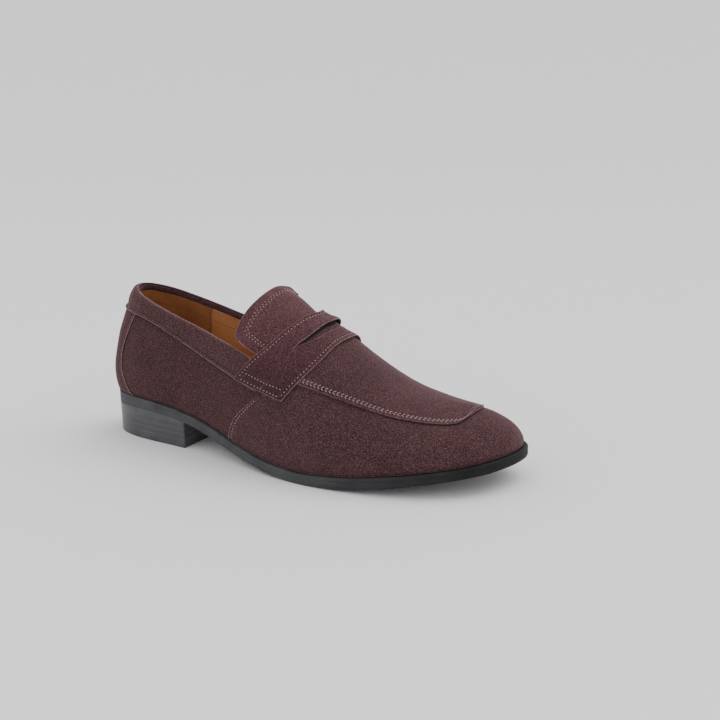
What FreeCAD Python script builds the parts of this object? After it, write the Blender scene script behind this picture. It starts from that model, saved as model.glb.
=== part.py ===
import FreeCAD, Part
import math
import os

# A right-foot penny loafer. Millimetres; +X from heel to toe, +Y towards the inner side of the foot, +Z up.
# The origin is on the ground under the middle of the heel.

SIZES = {
    "half_reach": 149.5,       # half the length of the feather line, heel to toe
    "reach_middle": 111.0,     # X of the middle of that length
    "toe_swing": 12.2,         # the toe point's offset towards the inner side
    "ridge_back": 22.0,        # X where the ridge of the form starts over the heel
    "ridge_front": 222.5,      # X where it ends over the toe
    "suede_thick": 1.4,
    "lining_thick": 1.1,
    "board_thick": 1.0,        # heel counter and toe puff
    "layer_gap": 0.1,
    "nest_gap": 0.2,           # between the curved layers of the upper
    "foam_thick": 2.0,
    "heel_front": 38.3,        # X of the heel's front face
    "top_piece_high": 6.0,
    "lift_high": 4.0,
    "welt_thick": 2.2,
    "welt_wide": 9.0,
    "overhang_toe": 2.5,       # how far the sole stands out of the upper at the toe
    "overhang_heel": 0.98,
    "insole_thick": 1.8,
    "footbed_thick": 2.0,
    "sock_thick": 1.0,
    "insole_inset": 5.0,
    "shank_long": 104.0,
    "shank_wide": 16.0,
    "shank_thick": 1.0,
    "cork_start": 92.0,
    "nail_radius": 0.8,
    "nail_head_radius": 1.7,
    "stitch_radius": 0.45,
    "stitch_long": 4.6,
    "stitch_pitch": 4.8,
    "tongue_thick": 1.4,
}

# Shape of the form (the last) that the upper is pulled over, as evenly spaced control values.
SERIES = {
    "outer_half": (22.0, 28.6, 29.7, 50.6, 54.9, 43.7, 22.4),    # feather line, outer side, heel to toe
    "inner_half": (21.6, 29.0, 27.7, 30.6, 41.2, 41.5, 28.3),    # feather line, inner side
    "feather_high": (28.5, 29.3, 24.3, 12.7, 5.2, 9.0, 15.1, 21.6),
    "ground_side": (18.9, 22.3, 17.6, 5.8, -1.2, 1.1, 8.6, 14.8),    # underside of the sole
    "ridge_high": (137.5, 124.4, 107.4, 81.7, 49.0, 44.5),
    "ridge_side": (0.0, 0.0, 0.0, 0.5, 0.6, 3.2),
    "swell": (12.9, 9.1, 6.2, 3.9, 2.3, 1.3, 1.1),
    "belly": (0.23, 0.405, 0.505, 0.535, 0.5),
    "crown": (0.42, 0.565, 0.61, 0.58, 0.49),
    "mouth": (0.542, 0.493, 0.453, 0.438, 0.441),
    "band": (0.463, 0.452, 0.385, 0.318, 0.312),
}

TONGUE_TUCK = 1.9      # depth of the tongue's outer face under the form's surface where it starts
TONGUE_CORNER = 5.0    # how far the tip's corners are drawn forward
APRON_TRIM = 0.6       # how far the apron's edge stays inside the seam line
APRON_BACK = 127.0     # X of the apron's rear edge, hidden under the strap
LINING_TRIM = 3.0      # the same two values for the apron's lining
LINING_BACK = 128.5
LINING_FOOT = 0.02     # height at which the linings start
LINING_DROP = 0.075    # how far below the topline the linings end
STIFFENER_FOOT = 0.03  # height at which the heel counter and the toe puff start
RIM_DROP = 0.065       # how far below the topline the collar's padding starts
RIM_TOP = 0.004        # and ends
STITCH_LIFT = 0.6      # height of the apron's stitches above the form's surface
STITCH_SLANT = 0.5     # radians
HALVINGS = 34          # steps of a search by halving
FORM_START = -40.0     # the height series run from here
FORM_LENGTH = 300.0
MOUTH_END = 0.453      # share of the ridge where the mouth series ends

# Edges drawn on the form, as (station, height) pairs: station 0 is the back of the heel and 1 the toe,
# height 0 is the feather line and 1 the ridge.
SIDE_SEAM = ((0.432, 0.0), (0.449, 0.125), (0.48, 0.257), (0.496, 0.324))
APRON_SEAM = ((0.496, 0.324), (0.549, 0.47), (0.593, 0.503), (0.66, 0.548), (0.74, 0.565), (0.8, 0.57),
              (0.838, 0.59), (0.873, 0.669), (0.92, 0.757), (1.0, 0.815))
COLLAR_ENDS = (0.444, 0.465)     # stations of the collar band's ends, at its lower and upper edge
QUARTER_FRONT = ((0.43, 0.0), (0.447, 0.125), (0.478, 0.257), (0.494, 0.34), (0.5, 0.44))
STAY_EDGE = ((0.189, 0.009), (0.17, 0.095), (0.155, 0.178), (0.153, 0.264), (0.16, 0.338), (0.171, 0.41))
# Edges of the saddle strap from the outer end to the ridge, as (station, height).
STRAP_REAR = ((0.447, 0.316), (0.469, 0.451), (0.487, 0.56), (0.501, 0.715), (0.508, 0.857), (0.511, 1.0))
STRAP_FRONT = ((0.53, 0.335), (0.55, 0.484), (0.561, 0.584), (0.569, 0.691), (0.574, 0.85), (0.578, 1.0))
SLOT_REAR = ((0.522, 0.627), (0.532, 0.718), (0.537, 0.821), (0.5385, 1.0))
SLOT_FRONT = ((0.522, 0.627), (0.536, 0.701), (0.546, 0.784), (0.552, 1.0))
# Tongue: control rows across it from the outer to the inner edge, X, Y, Z.
TONGUE_MIDDLE = ((91, -33, 74), (97, -20, 94), (107, 2, 103), (106, 14, 99), (101, 22.5, 83))
TONGUE_TIP = ((81, -28, 83), (84, -16, 98.5), (91, 2, 106.5), (95, 14, 105), (97, 22, 97))
TONGUE_ROOT = ((0.466, 0.48), (0.482, 0.56), (0.496, 0.715), (0.505, 1.0), (0.496, 1.285), (0.482, 1.44),
               (0.466, 1.52))

doc = FreeCAD.newDocument("PennyLoafer")
sheet = doc.addObject("Spreadsheet::Sheet", "Sizes")


def fill_sheet():
    """Writes every driving dimension to a cell of its own, with its alias."""
    cells = list(SIZES.items())
    for name, values in SERIES.items():
        cells += [(f"{name}_{i + 1}", value) for i, value in enumerate(values)]
    for row, (alias, value) in enumerate(cells, start=1):
        sheet.set(f"A{row}", alias)
        sheet.set(f"B{row}", str(value))
        sheet.setAlias(f"B{row}", alias)
    doc.recompute()


fill_sheet()


def size(alias):
    return float(sheet.get(alias))


def series(name):
    return [size(f"{name}_{i + 1}") for i in range(len(SERIES[name]))]


# ---------------------------------------------------------------- curves

def weights(f):
    """The four weights of a uniform cubic B-spline at fraction f of a span."""
    return ((1 - f) ** 3 / 6, (3 * f ** 3 - 6 * f * f + 4) / 6, (-3 * f ** 3 + 3 * f * f + 3 * f + 1) / 6, f ** 3 / 6)


def blend_rows(rows, w):
    return tuple(sum(wi * row[k] for wi, row in zip(w, rows)) for k in range(len(rows[0])))


def spline(rows, u):
    """A point at u in 0..1 on an open B-spline that starts and ends on its end rows."""
    start = tuple(2 * a - b for a, b in zip(rows[0], rows[1]))
    end = tuple(2 * a - b for a, b in zip(rows[-1], rows[-2]))
    full = [start, *rows, end]
    k = min(max(u, 0.0), 1.0) * (len(rows) - 1)
    i = min(int(k), len(rows) - 2)
    return blend_rows(full[i:i + 4], weights(k - i))


def ring(rows, u):
    """A point at u in 0..1 on a closed B-spline."""
    n = len(rows)
    k = (u % 1.0) * n
    i = int(k)
    return blend_rows([rows[(i + j - 1) % n] for j in range(4)], weights(k - i))


def through(points, u):
    """A point at u on a smooth line through the points, spaced by their distances."""
    reach = [0.0]
    for a, b in zip(points, points[1:]):
        reach.append(reach[-1] + math.dist(a, b))
    d = u * reach[-1]
    i = max(j for j in range(len(points) - 1) if reach[j] <= d + 1e-12)
    f = (d - reach[i]) / (reach[i + 1] - reach[i])

    def slope(j):
        lo, hi = max(j - 1, 0), min(j + 1, len(points) - 1)
        return [(b - a) / (reach[hi] - reach[lo]) for a, b in zip(points[lo], points[hi])]

    step = reach[i + 1] - reach[i]
    h = (2 * f ** 3 - 3 * f * f + 1, f ** 3 - 2 * f * f + f, 3 * f * f - 2 * f ** 3, f ** 3 - f * f)
    return tuple(h[0] * a + h[1] * step * m + h[2] * b + h[3] * step * n
                 for a, b, m, n in zip(points[i], points[i + 1], slope(i), slope(i + 1)))


# ---------------------------------------------------------------- the form

class Form:
    """The foot form. Its surface is made of ribs from the feather line up to the ridge."""

    def __init__(self):
        half, mid = size("half_reach"), size("reach_middle")
        outer, inner = series("outer_half"), series("inner_half")
        xs = [mid - half * math.cos(math.pi * i / 8) for i in range(9)]
        self.outline = [(xs[0], 0.0)]
        self.outline += [(xs[i], -outer[i - 1]) for i in range(1, 8)]
        self.outline += [(xs[8], size("toe_swing"))]
        self.outline += [(xs[i], inner[i - 1]) for i in range(7, 0, -1)]
        self.values = {name: [(v,) for v in series(name)] for name in SERIES}
        self.ridge = (size("ridge_back"), size("ridge_front"))

    def value(self, name, share):
        return spline(self.values[name], share)[0]

    def share(self, a):
        """Share of the ridge reached at station a; stations past 1 run back along the inner side."""
        a = a % 2.0
        return (1 - math.cos(math.pi * min(a, 2 - a))) / 2

    def plan(self, a):
        return ring(self.outline, a / 2.0)

    def level(self, name, x):
        return self.value(name, (x - FORM_START) / FORM_LENGTH)

    def feather(self, a):
        x, y = self.plan(a)
        return FreeCAD.Vector(x, y, self.level("feather_high", x))

    def crest(self, share):
        x = self.ridge[0] + (self.ridge[1] - self.ridge[0]) * share
        return FreeCAD.Vector(x, self.value("ridge_side", share), self.value("ridge_high", share))

    def rib(self, a):
        w = self.share(a)
        foot, top = self.feather(a), self.crest(w)
        way = FreeCAD.Vector(top.x - foot.x, top.y - foot.y, 0)
        out = FreeCAD.Vector(way).normalize() * self.value("swell", w)
        lo, hi = max(w - 1e-3, 0.0), min(w + 1e-3, 1.0)
        fall = (self.crest(hi).z - self.crest(lo).z) / (self.crest(hi).x - self.crest(lo).x)
        crown = self.value("crown", w)
        low = foot - out + FreeCAD.Vector(0, 0, self.value("belly", w) * (top.z - foot.z))
        high = top - way * crown - FreeCAD.Vector(0, 0, crown * fall * way.x)
        return foot, low, high, top

    def surface(self, a, t):
        p = self.rib(a)
        return p[0] * (1 - t) ** 3 + p[1] * (3 * t * (1 - t) ** 2) + p[2] * (3 * t * t * (1 - t)) + p[3] * t ** 3

    def point(self, a, t, lift):
        """A point lift millimetres outside the surface; t past 1 crosses the ridge to the other side."""
        if t > 1:
            a, t = 2 - a, 2 - t
        e = 2e-3
        here = self.surface(a, t)
        t0, t1 = max(t - e, 0.0), min(t + e, 1.0)
        along = self.surface(a + e, t) - self.surface(a - e, t)
        normal = along.cross(self.surface(a, t1) - self.surface(a, t0)).normalize()
        return here + normal * lift

    def find(self, x, y):
        """The station and height of the surface point over the plan position x, y."""
        lo_a, hi_a = (0.02, 1.0) if y < self.mid_line(x, y) else (1.0, 1.98)

        def side(a):
            foot, top = self.feather(a), self.crest(self.share(a))
            return (foot.x - top.x) * (y - top.y) - (foot.y - top.y) * (x - top.x)

        up = side(lo_a) < 0
        for _ in range(HALVINGS):
            a = (lo_a + hi_a) / 2
            if (side(a) < 0) == up:
                lo_a = a
            else:
                hi_a = a
        a = (lo_a + hi_a) / 2
        foot, _, _, top = self.rib(a)
        way = FreeCAD.Vector(top.x - foot.x, top.y - foot.y, 0)
        lo_t, hi_t = 0.2, 1.0
        goal = (x - foot.x) * way.x + (y - foot.y) * way.y
        for _ in range(HALVINGS):
            t = (lo_t + hi_t) / 2
            p = self.surface(a, t)
            if (p.x - foot.x) * way.x + (p.y - foot.y) * way.y < goal:
                lo_t = t
            else:
                hi_t = t
        return a, (lo_t + hi_t) / 2

    def mid_line(self, x, y):
        share = (x - self.ridge[0]) / (self.ridge[1] - self.ridge[0])
        if share >= 1:
            toe, end = self.feather(1.0), self.crest(1.0)
            return end.y + (toe.y - end.y) * (x - end.x) / (toe.x - end.x)
        return self.crest(min(max(share, 0.0), 1.0)).y

    def over(self, x, y, lift):
        """The surface point over a plan position, raised by lift along the normal."""
        a, t = self.find(x, y)
        return self.point(a, min(t, 0.999), lift)


form = Form()


# ---------------------------------------------------------------- solids from surfaces

def knots(count, degree):
    spans = count - degree
    return [float(i) for i in range(spans + 1)], [degree + 1] + [1] * (spans - 1) + [degree + 1]


def skin(grid):
    """A B-spline face with the grid as its control net."""
    du, dv = min(3, len(grid) - 1), min(3, len(grid[0]) - 1)
    ku, mu = knots(len(grid), du)
    kv, mv = knots(len(grid[0]), dv)
    surface = Part.BSplineSurface()
    surface.buildFromPolesMultsKnots(grid, mu, mv, ku, kv, False, False, du, dv)
    return surface.toShape()


def slab(outer, inner):
    """A closed solid between two grids of the same size."""
    faces = [skin(outer), skin(inner), skin([outer[0], inner[0]]), skin([outer[-1], inner[-1]])]
    faces += [skin([[row[0] for row in outer], [row[0] for row in inner]])]
    faces += [skin([[row[-1] for row in outer], [row[-1] for row in inner]])]
    shell = Part.makeCompound(faces)
    shell.sewShape(1e-4)
    solid = Part.makeSolid(shell.Shells[0])
    if solid.Volume < 0:
        solid.reverse()
    return solid


def coons(low, high, back, front):
    """A map of the unit square onto the patch between four edges that meet at their ends."""
    def at(s, v):
        c = [low(s), high(s), back(v), front(v), low(0), low(1), high(0), high(1)]
        return tuple((1 - v) * c[0][k] + v * c[1][k] + (1 - s) * c[2][k] + s * c[3][k]
                     - (1 - s) * (1 - v) * c[4][k] - s * (1 - v) * c[5][k] - (1 - s) * v * c[6][k] - s * v * c[7][k]
                     for k in range(len(c[0])))
    return at


def grid_of(patch, place, lift, across, up):
    """Surface points over a patch: place turns a patch position and a lift into a point."""
    return [[place(*patch(i / across, j / up), lift) for j in range(up + 1)] for i in range(across + 1)]


def layer(patch, place, top, thick, across=30, up=10):
    """A sheet whose outer face is at lift top and whose inner face is thick below it."""
    return slab(grid_of(patch, place, top, across, up), grid_of(patch, place, top - thick, across, up))


def straight(p, q):
    return lambda u: tuple(a + (b - a) * u for a, b in zip(p, q))


def line(points):
    return lambda u: through(points, u)


def there_and_back(points, mirror):
    """A line through the points and on through their mirror images."""
    return line(list(points) + [mirror(p) for p in reversed(points[:-1])])


def inner_station(p):
    return 2 - p[0], p[1]


def over_ridge(p):
    return p[0], 2 - p[1]


# ---------------------------------------------------------------- document objects

nodes = []


def keep(label, shape):
    """Adds a free-form sub-part to the document."""
    item = doc.addObject("Part::Feature", label)
    item.Label = label
    item.Shape = shape
    item.Placement = FreeCAD.Placement()
    nodes.append(item)
    return item


def origin_plane(body, role):
    return next(item for item in body.Origin.OriginFeatures if item.Role == role)


def closed_sketch(body, name, role, points):
    """A sketch on one of the body's origin planes with a closed spline through the points."""
    sketch = body.newObject("Sketcher::SketchObject", name)
    sketch.AttachmentSupport = [(origin_plane(body, role), "")]
    sketch.MapMode = "FlatFace"
    curve = Part.BSplineCurve()
    curve.interpolate([FreeCAD.Vector(p[0], p[1], 0) for p in points], PeriodicFlag=True)
    sketch.addGeometry(curve)
    return sketch


def polygon_sketch(body, name, role, points):
    """A sketch on one of the body's origin planes with straight sides."""
    sketch = body.newObject("Sketcher::SketchObject", name)
    sketch.AttachmentSupport = [(origin_plane(body, role), "")]
    sketch.MapMode = "FlatFace"
    for p, q in zip(points, points[1:] + points[:1]):
        sketch.addGeometry(Part.LineSegment(FreeCAD.Vector(*p, 0), FreeCAD.Vector(*q, 0)))
    return sketch


def pad(body, name, sketch, length, midplane=False):
    feature = body.newObject("PartDesign::Pad", name)
    feature.Profile = sketch
    feature.setExpression("Length", length)
    if midplane:
        feature.SideType = "Symmetric"
    sketch.Visibility = False
    doc.recompute()
    return feature


def outline(grow, start=0.0, end=2.0, count=44):
    """Plan of the feather line, moved outwards by grow(x)."""
    points = []
    for i in range(count):
        a = start + (end - start) * i / count
        x, y = form.plan(a)
        ahead, behind = form.plan(a + 0.004), form.plan(a - 0.004)
        dx, dy = ahead[0] - behind[0], ahead[1] - behind[1]
        reach = math.hypot(dx, dy)
        points.append((x + grow(x) * dy / reach, y - grow(x) * dx / reach))
    return points


def overhang(x):
    share = min(max((x + 20) / 90, 0.0), 1.0)
    return size("overhang_heel") + (size("overhang_toe") - size("overhang_heel")) * share


def inset(distance):
    return lambda x: -distance


def profile(lower, upper, start, end, count=24):
    """Side view of a slab between two heights, as straight-sided points from start to end."""
    xs = [start + (end - start) * i / count for i in range(count + 1)]
    return [(x, lower(x)) for x in xs] + [(x, upper(x)) for x in reversed(xs)]


def sole_level(x):
    return form.level("feather_high", x) - size("layer_gap")


def ground_level(x):
    return form.level("ground_side", x)


def sole_layer(label, plan_points, side_points, hole_points=None):
    """A curved sole layer: what the padded plan and the padded side view share."""
    plan_body = doc.addObject("PartDesign::Body", label + "_plan")
    plan = closed_sketch(plan_body, label + "_outline", "XY_Plane", plan_points)
    if hole_points:
        curve = Part.BSplineCurve()
        curve.interpolate([FreeCAD.Vector(p[0], p[1], 0) for p in hole_points], PeriodicFlag=True)
        plan.addGeometry(curve)
    pad(plan_body, label + "_plan_pad", plan, "Sizes.half_reach", midplane=True)
    side_body = doc.addObject("PartDesign::Body", label + "_side")
    side = polygon_sketch(side_body, label + "_profile", "XZ_Plane", side_points)
    pad(side_body, label + "_side_pad", side, "Sizes.half_reach", midplane=True)
    common = doc.addObject("Part::Common", label)
    common.Label = label
    common.Base = plan_body
    common.Tool = side_body
    doc.recompute()
    nodes.append(common)
    return common


def drilled(label, source, tools):
    """The sub-part with the nails' holes cut out of it."""
    cut = doc.addObject("Part::Cut", label)
    cut.Base = source
    cut.Tool = tools
    source.Label = label + "_undrilled"
    cut.Label = label
    doc.recompute()
    nodes[nodes.index(source)] = cut
    return cut


# ---------------------------------------------------------------- bottom unit

NAILS = ((-22, 0), (-12, -14), (-12, 14), (8, -17), (8, 17), (26, -9), (26, 9))
SOLE_START, SOLE_END = -45.0, 268.0


def nail_shapes(radius, head, spare):
    shapes = []
    for x, y in NAILS:
        base = size("top_piece_high") + size("layer_gap")
        top = ground_level(x) + 3.5
        shapes.append(Part.makeCylinder(radius + spare, top - base, FreeCAD.Vector(x, y, base)))
        shapes[-1] = shapes[-1].fuse(Part.makeCylinder(head + spare, 1.0 + spare, FreeCAD.Vector(x, y, base - spare)))
    return shapes


def build_bottom():
    gap = size("layer_gap")
    welt = size("welt_thick")
    heel = size("heel_front")
    sole_plan = outline(overhang)
    sole_top = lambda x: sole_level(x) - welt - gap
    outsole = sole_layer("outsole", sole_plan, profile(ground_level, sole_top, SOLE_START, SOLE_END))
    sole_layer("welt", sole_plan, profile(lambda x: sole_level(x) - welt, sole_level, SOLE_START, SOLE_END),
               outline(inset(size("welt_wide") - size("overhang_toe"))))
    fill_plan = outline(inset(size("welt_wide") - size("overhang_toe") + 0.4))
    fill_low = lambda x: sole_level(x) - welt + gap
    fill_high = lambda x: sole_level(x) - 2 * gap
    sole_layer("cork_filler", fill_plan, profile(fill_low, fill_high, size("cork_start"), SOLE_END))
    insole_plan = outline(inset(size("insole_inset")))
    floor = lambda x: form.level("feather_high", x)
    board, foam, sock = size("insole_thick"), size("footbed_thick"), size("sock_thick")
    sole_layer("insole_board", insole_plan, profile(floor, lambda x: floor(x) + board, SOLE_START, SOLE_END))
    sole_layer("footbed_foam", insole_plan, profile(lambda x: floor(x) + board + gap,
               lambda x: floor(x) + board + foam, SOLE_START, SOLE_END))
    sole_layer("sock_lining", insole_plan, profile(lambda x: floor(x) + board + foam + gap,
               lambda x: floor(x) + board + foam + sock, SOLE_START, SOLE_END))
    build_shank(fill_low)

    step = size("lift_high")
    first = size("top_piece_high") + gap
    flat = lambda level: (lambda x: level)
    sole_layer("top_piece", sole_plan, profile(flat(0.0), flat(first - gap), SOLE_START, heel, 1))
    lower = sole_layer("heel_lift_lower", sole_plan, profile(flat(first), flat(first + step - gap), SOLE_START, heel, 1))
    upper = sole_layer("heel_lift_upper", sole_plan,
                       profile(flat(first + step), flat(first + 2 * step - gap), SOLE_START, heel, 1))
    seat = sole_layer("heel_seat_wedge", sole_plan,
                      profile(flat(first + 2 * step), lambda x: ground_level(x) - gap, SOLE_START, heel, 12))

    keep("heel_nails", Part.makeCompound(nail_shapes(size("nail_radius"), size("nail_head_radius"), 0.0)))
    holes = Part.makeCompound(nail_shapes(size("nail_radius"), size("nail_head_radius"), 0.05))
    drill = doc.addObject("Part::Feature", "nail_holes")
    drill.Shape = holes
    for piece in (lower, upper, seat, outsole):
        drilled(piece.Label, piece, drill)


def build_shank(base):
    """A spring-steel strip bent to the waist of the sole."""
    half = size("shank_wide") / 2
    start = size("cork_start") - 2.0 - size("shank_long")
    count = 14
    xs = [start + size("shank_long") * i / count for i in range(count + 1)]
    low = [[FreeCAD.Vector(x, y, base(x) + 0.5) for y in (-half, half)] for x in xs]
    high = [[p + FreeCAD.Vector(0, 0, size("shank_thick")) for p in row] for row in low]
    keep("shank", slab(high, low))


# ---------------------------------------------------------------- upper

def mouth(a):
    return form.value("mouth", form.share(a) / MOUTH_END)


def band(a):
    return form.value("band", form.share(a) / MOUTH_END)


def strip(start, end, low, high):
    """A patch between two heights that are functions of the station."""
    return lambda s, v: (start + (end - start) * s, low(start + (end - start) * s) * (1 - v)
                         + high(start + (end - start) * s) * v)


def other_side(patch):
    """The same patch on the inner side of the shoe, run the other way so that it stays outward."""
    def at(s, v):
        a, t = patch(1 - s, v)
        return 2 - a, t
    return at


def vamp_patch():
    return coons(straight(SIDE_SEAM[0], inner_station(SIDE_SEAM[0])), there_and_back(APRON_SEAM, inner_station),
                 line(SIDE_SEAM), lambda v: inner_station(through(SIDE_SEAM, v)))


def quarter_patch(end_gap, top_drop):
    low = straight((end_gap, 0.0), QUARTER_FRONT[0])
    last = QUARTER_FRONT[-1]

    def high(s):
        a = end_gap + (last[0] - end_gap) * s
        return a, mouth(a) + (last[1] - mouth(last[0])) * s - top_drop * (1 - s)

    return coons(low, high, straight((end_gap, 0.0), high(0)), line(QUARTER_FRONT))


def apron_patch(shrink, back):
    """Plan positions over the top of the forepart, inside the apron seam."""
    seam = APRON_SEAM[1:]
    edge = [form.surface(*p) for p in seam]
    other = [form.surface(*inner_station(p)) for p in seam]
    corner = 6
    sides = ([(p.x, p.y + shrink) for p in edge[:corner + 1]], [(p.x, p.y - shrink) for p in other[:corner + 1]])
    outer, inner = ([(back, side[0][1]), *side] for side in sides)
    toe = [(p.x - shrink, p.y) for p in edge[corner + 1:]]
    toe += [(p.x - shrink, p.y) for p in reversed(other[corner + 1:-1])]
    front = line([outer[-1], *toe, inner[-1]])
    return coons(line(outer), line(inner), straight(outer[0], inner[0]), front)


def tongue_place(s, v, lift):
    """The tongue's surface: s from the strap to the tip, v from the outer to the inner edge."""
    def surface(s1, v1):
        root = tuple(form.point(*through(TONGUE_ROOT, v1), -TONGUE_TUCK))
        rows = (root, through(TONGUE_MIDDLE, v1), through(TONGUE_TIP, v1))
        w = ((1 - s1) ** 2, 2 * s1 * (1 - s1), s1 * s1)
        rounding = TONGUE_CORNER * abs(2 * v1 - 1) ** 4 * s1 ** 3
        return FreeCAD.Vector(*blend_rows(rows, w)) + FreeCAD.Vector(rounding, 0, 0)

    e = 1e-3
    sc, vc = min(max(s, e), 1 - e), min(max(v, e), 1 - e)
    along = surface(sc + e, vc) - surface(sc - e, vc)
    across = surface(sc, vc + e) - surface(sc, vc - e)
    return surface(s, v) + across.cross(along).normalize() * lift


def apron_stitches():
    """Raised hand stitches that cross the apron seam from side to side."""
    seam = there_and_back(APRON_SEAM[1:], inner_station)
    path = [form.point(*seam(i / 400), STITCH_LIFT) for i in range(401)]
    reach = [0.0]
    for p, q in zip(path, path[1:]):
        reach.append(reach[-1] + p.distanceToPoint(q))
    pitch = size("stitch_pitch")
    count = int((reach[-1] - 2 * pitch) / pitch)
    half = size("stitch_long") / 2
    shapes = []
    for n in range(count):
        goal = pitch * (n + 1)
        i = next(j for j, r in enumerate(reach) if r >= goal)
        a, t = seam(i / 400)
        up = (form.point(a, t + 0.01, STITCH_LIFT) - form.point(a, t - 0.01, STITCH_LIFT)).normalize()
        ahead = (path[i + 1] - path[i - 1]).normalize()
        way = (up - ahead * (up * ahead)).normalize() * math.cos(STITCH_SLANT) + ahead * math.sin(STITCH_SLANT)
        shapes.append(Part.makeCylinder(size("stitch_radius"), 2 * half, path[i] - way * half, way))
    return Part.makeCompound(shapes)


def collar_patch():
    """The band along the opening; its ends follow the strap's rear edge."""
    def at(s, v):
        a = (2 * s - 1) * (COLLAR_ENDS[0] * (1 - v) + COLLAR_ENDS[1] * v)
        return a, band(a) * (1 - v) + (mouth(a) - 0.002) * v
    return at


def build_upper():
    gap, suede, lining = size("layer_gap"), size("suede_thick"), size("lining_thick")
    board = size("board_thick")
    on_form = form.point
    nest = size("nest_gap")
    inside = -suede - nest
    deep = inside - lining - nest
    lining_foot = lambda a: LINING_FOOT
    lining_top = lambda a: mouth(a) - LINING_DROP
    stiff_foot = lambda a: STIFFENER_FOOT

    vamp = vamp_patch()
    keep("vamp", layer(vamp, on_form, 0.0, suede, 44, 10))
    keep("vamp_lining", layer(vamp, on_form, deep, lining, 44, 10))
    keep("toe_puff", layer(strip(0.8, 1.2, stiff_foot, lambda a: 0.5), on_form, inside, board, 14, 8))

    quarter = quarter_patch(0.003, 0.0)
    keep("quarter_outer", layer(quarter, on_form, 0.0, suede, 26, 10))
    keep("quarter_inner", layer(other_side(quarter), on_form, 0.0, suede, 26, 10))
    lined = strip(0.215, 0.49, lining_foot, lining_top)
    keep("quarter_lining_outer", layer(lined, on_form, inside, lining, 20, 8))
    keep("quarter_lining_inner", layer(other_side(lined), on_form, inside, lining, 20, 8))
    keep("heel_counter", layer(strip(-0.2, 0.2, stiff_foot, lambda a: 0.36), on_form, inside, board, 20, 8))
    keep("heel_lining", layer(strip(-0.21, 0.21, lining_foot, lining_top), on_form, deep, lining, 20, 8))

    rim = strip(-0.455, 0.455, lambda a: mouth(a) - RIM_DROP, lambda a: mouth(a) - RIM_TOP)
    keep("collar_padding", layer(rim, on_form, inside, size("foam_thick"), 50, 4))
    keep("collar_facing", layer(rim, on_form, inside - size("foam_thick") - gap, lining, 50, 4))
    collar = collar_patch()
    keep("collar_band", layer(collar, on_form, gap + lining, lining, 50, 6))

    foot = STAY_EDGE[0]
    stay_low = straight((-foot[0], foot[1]), foot)
    stay_top = [(a, band(a) - 0.01) for a in (-0.171, -0.1, 0.0, 0.1, 0.171)]
    side = [*STAY_EDGE[:-1], stay_top[-1]]
    stay = coons(stay_low, line(stay_top), line([(-a, t) for a, t in side]), line(side))
    keep("heel_foxing", layer(stay, on_form, gap + lining, lining, 24, 10))

    keep("apron", layer(apron_patch(APRON_TRIM, APRON_BACK), form.over, 0.0, suede, 30, 16))
    keep("apron_lining", layer(apron_patch(LINING_TRIM, LINING_BACK), form.over, inside, lining, 26, 14))
    build_strap(gap, suede)
    keep("apron_stitching", apron_stitches())

    tongue = lambda s, v: (s, v)
    keep("tongue", layer(tongue, tongue_place, 0.0, size("tongue_thick"), 18, 18))
    inner_tongue = lambda s, v: (0.02 + 0.96 * s, 0.03 + 0.94 * v)
    keep("tongue_lining", layer(inner_tongue, tongue_place, -size("tongue_thick") - gap, lining, 18, 18))


def build_strap(gap, suede):
    """The saddle strap over the instep, with the leaf-shaped slot cut through it."""
    rear = there_and_back(STRAP_REAR, over_ridge)
    front = there_and_back(STRAP_FRONT, over_ridge)
    ends = (straight(rear(0), front(0)), straight(rear(1), front(1)))
    patch = coons(rear, front, ends[0], ends[1])
    strap = layer(lambda s, v: patch(1 - s, v), form.point, gap + suede, suede, 36, 8)
    slot_rear = there_and_back(SLOT_REAR, over_ridge)
    slot_front = there_and_back(SLOT_FRONT, over_ridge)

    def slot(s, v):
        s = 0.004 + 0.992 * s
        p, q = slot_rear(s), slot_front(s)
        return p[0] * (1 - v) + q[0] * v, p[1] * (1 - v) + q[1] * v

    cutter = layer(slot, form.point, 5.0, 4.95, 24, 2)
    keep("saddle_strap", strap.cut(cutter))


def check_and_write():
    doc.recompute()
    for item in doc.Objects:
        if "Invalid" in item.State or "Error" in item.State:
            raise RuntimeError(f"{item.Label} failed: {item.State}")
    os.makedirs("parts", exist_ok=True)
    for item in nodes:
        shape = item.Shape
        if shape.isNull() or not shape.isValid():
            raise RuntimeError(f"{item.Label} has no valid shape")
        shape.exportStep(os.path.join("parts", item.Label + ".step"))


build_bottom()
build_upper()
check_and_write()
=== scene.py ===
import bpy
import math
import numpy as np
from mathutils import Matrix, Vector


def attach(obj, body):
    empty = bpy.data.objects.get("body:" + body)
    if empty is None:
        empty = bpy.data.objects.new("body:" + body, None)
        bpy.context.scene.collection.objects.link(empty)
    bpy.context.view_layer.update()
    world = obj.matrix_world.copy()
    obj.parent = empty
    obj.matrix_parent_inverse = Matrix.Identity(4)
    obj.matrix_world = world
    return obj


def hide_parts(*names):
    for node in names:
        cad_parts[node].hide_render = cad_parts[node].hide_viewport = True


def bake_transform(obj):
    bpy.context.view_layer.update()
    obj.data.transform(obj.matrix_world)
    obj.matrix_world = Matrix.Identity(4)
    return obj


# A right-foot penny loafer in dark plum suede with a tan lining and a black stacked heel.
# Shapes are worked out in millimetres in the row frame and turned into metres when a mesh is made.

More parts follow.
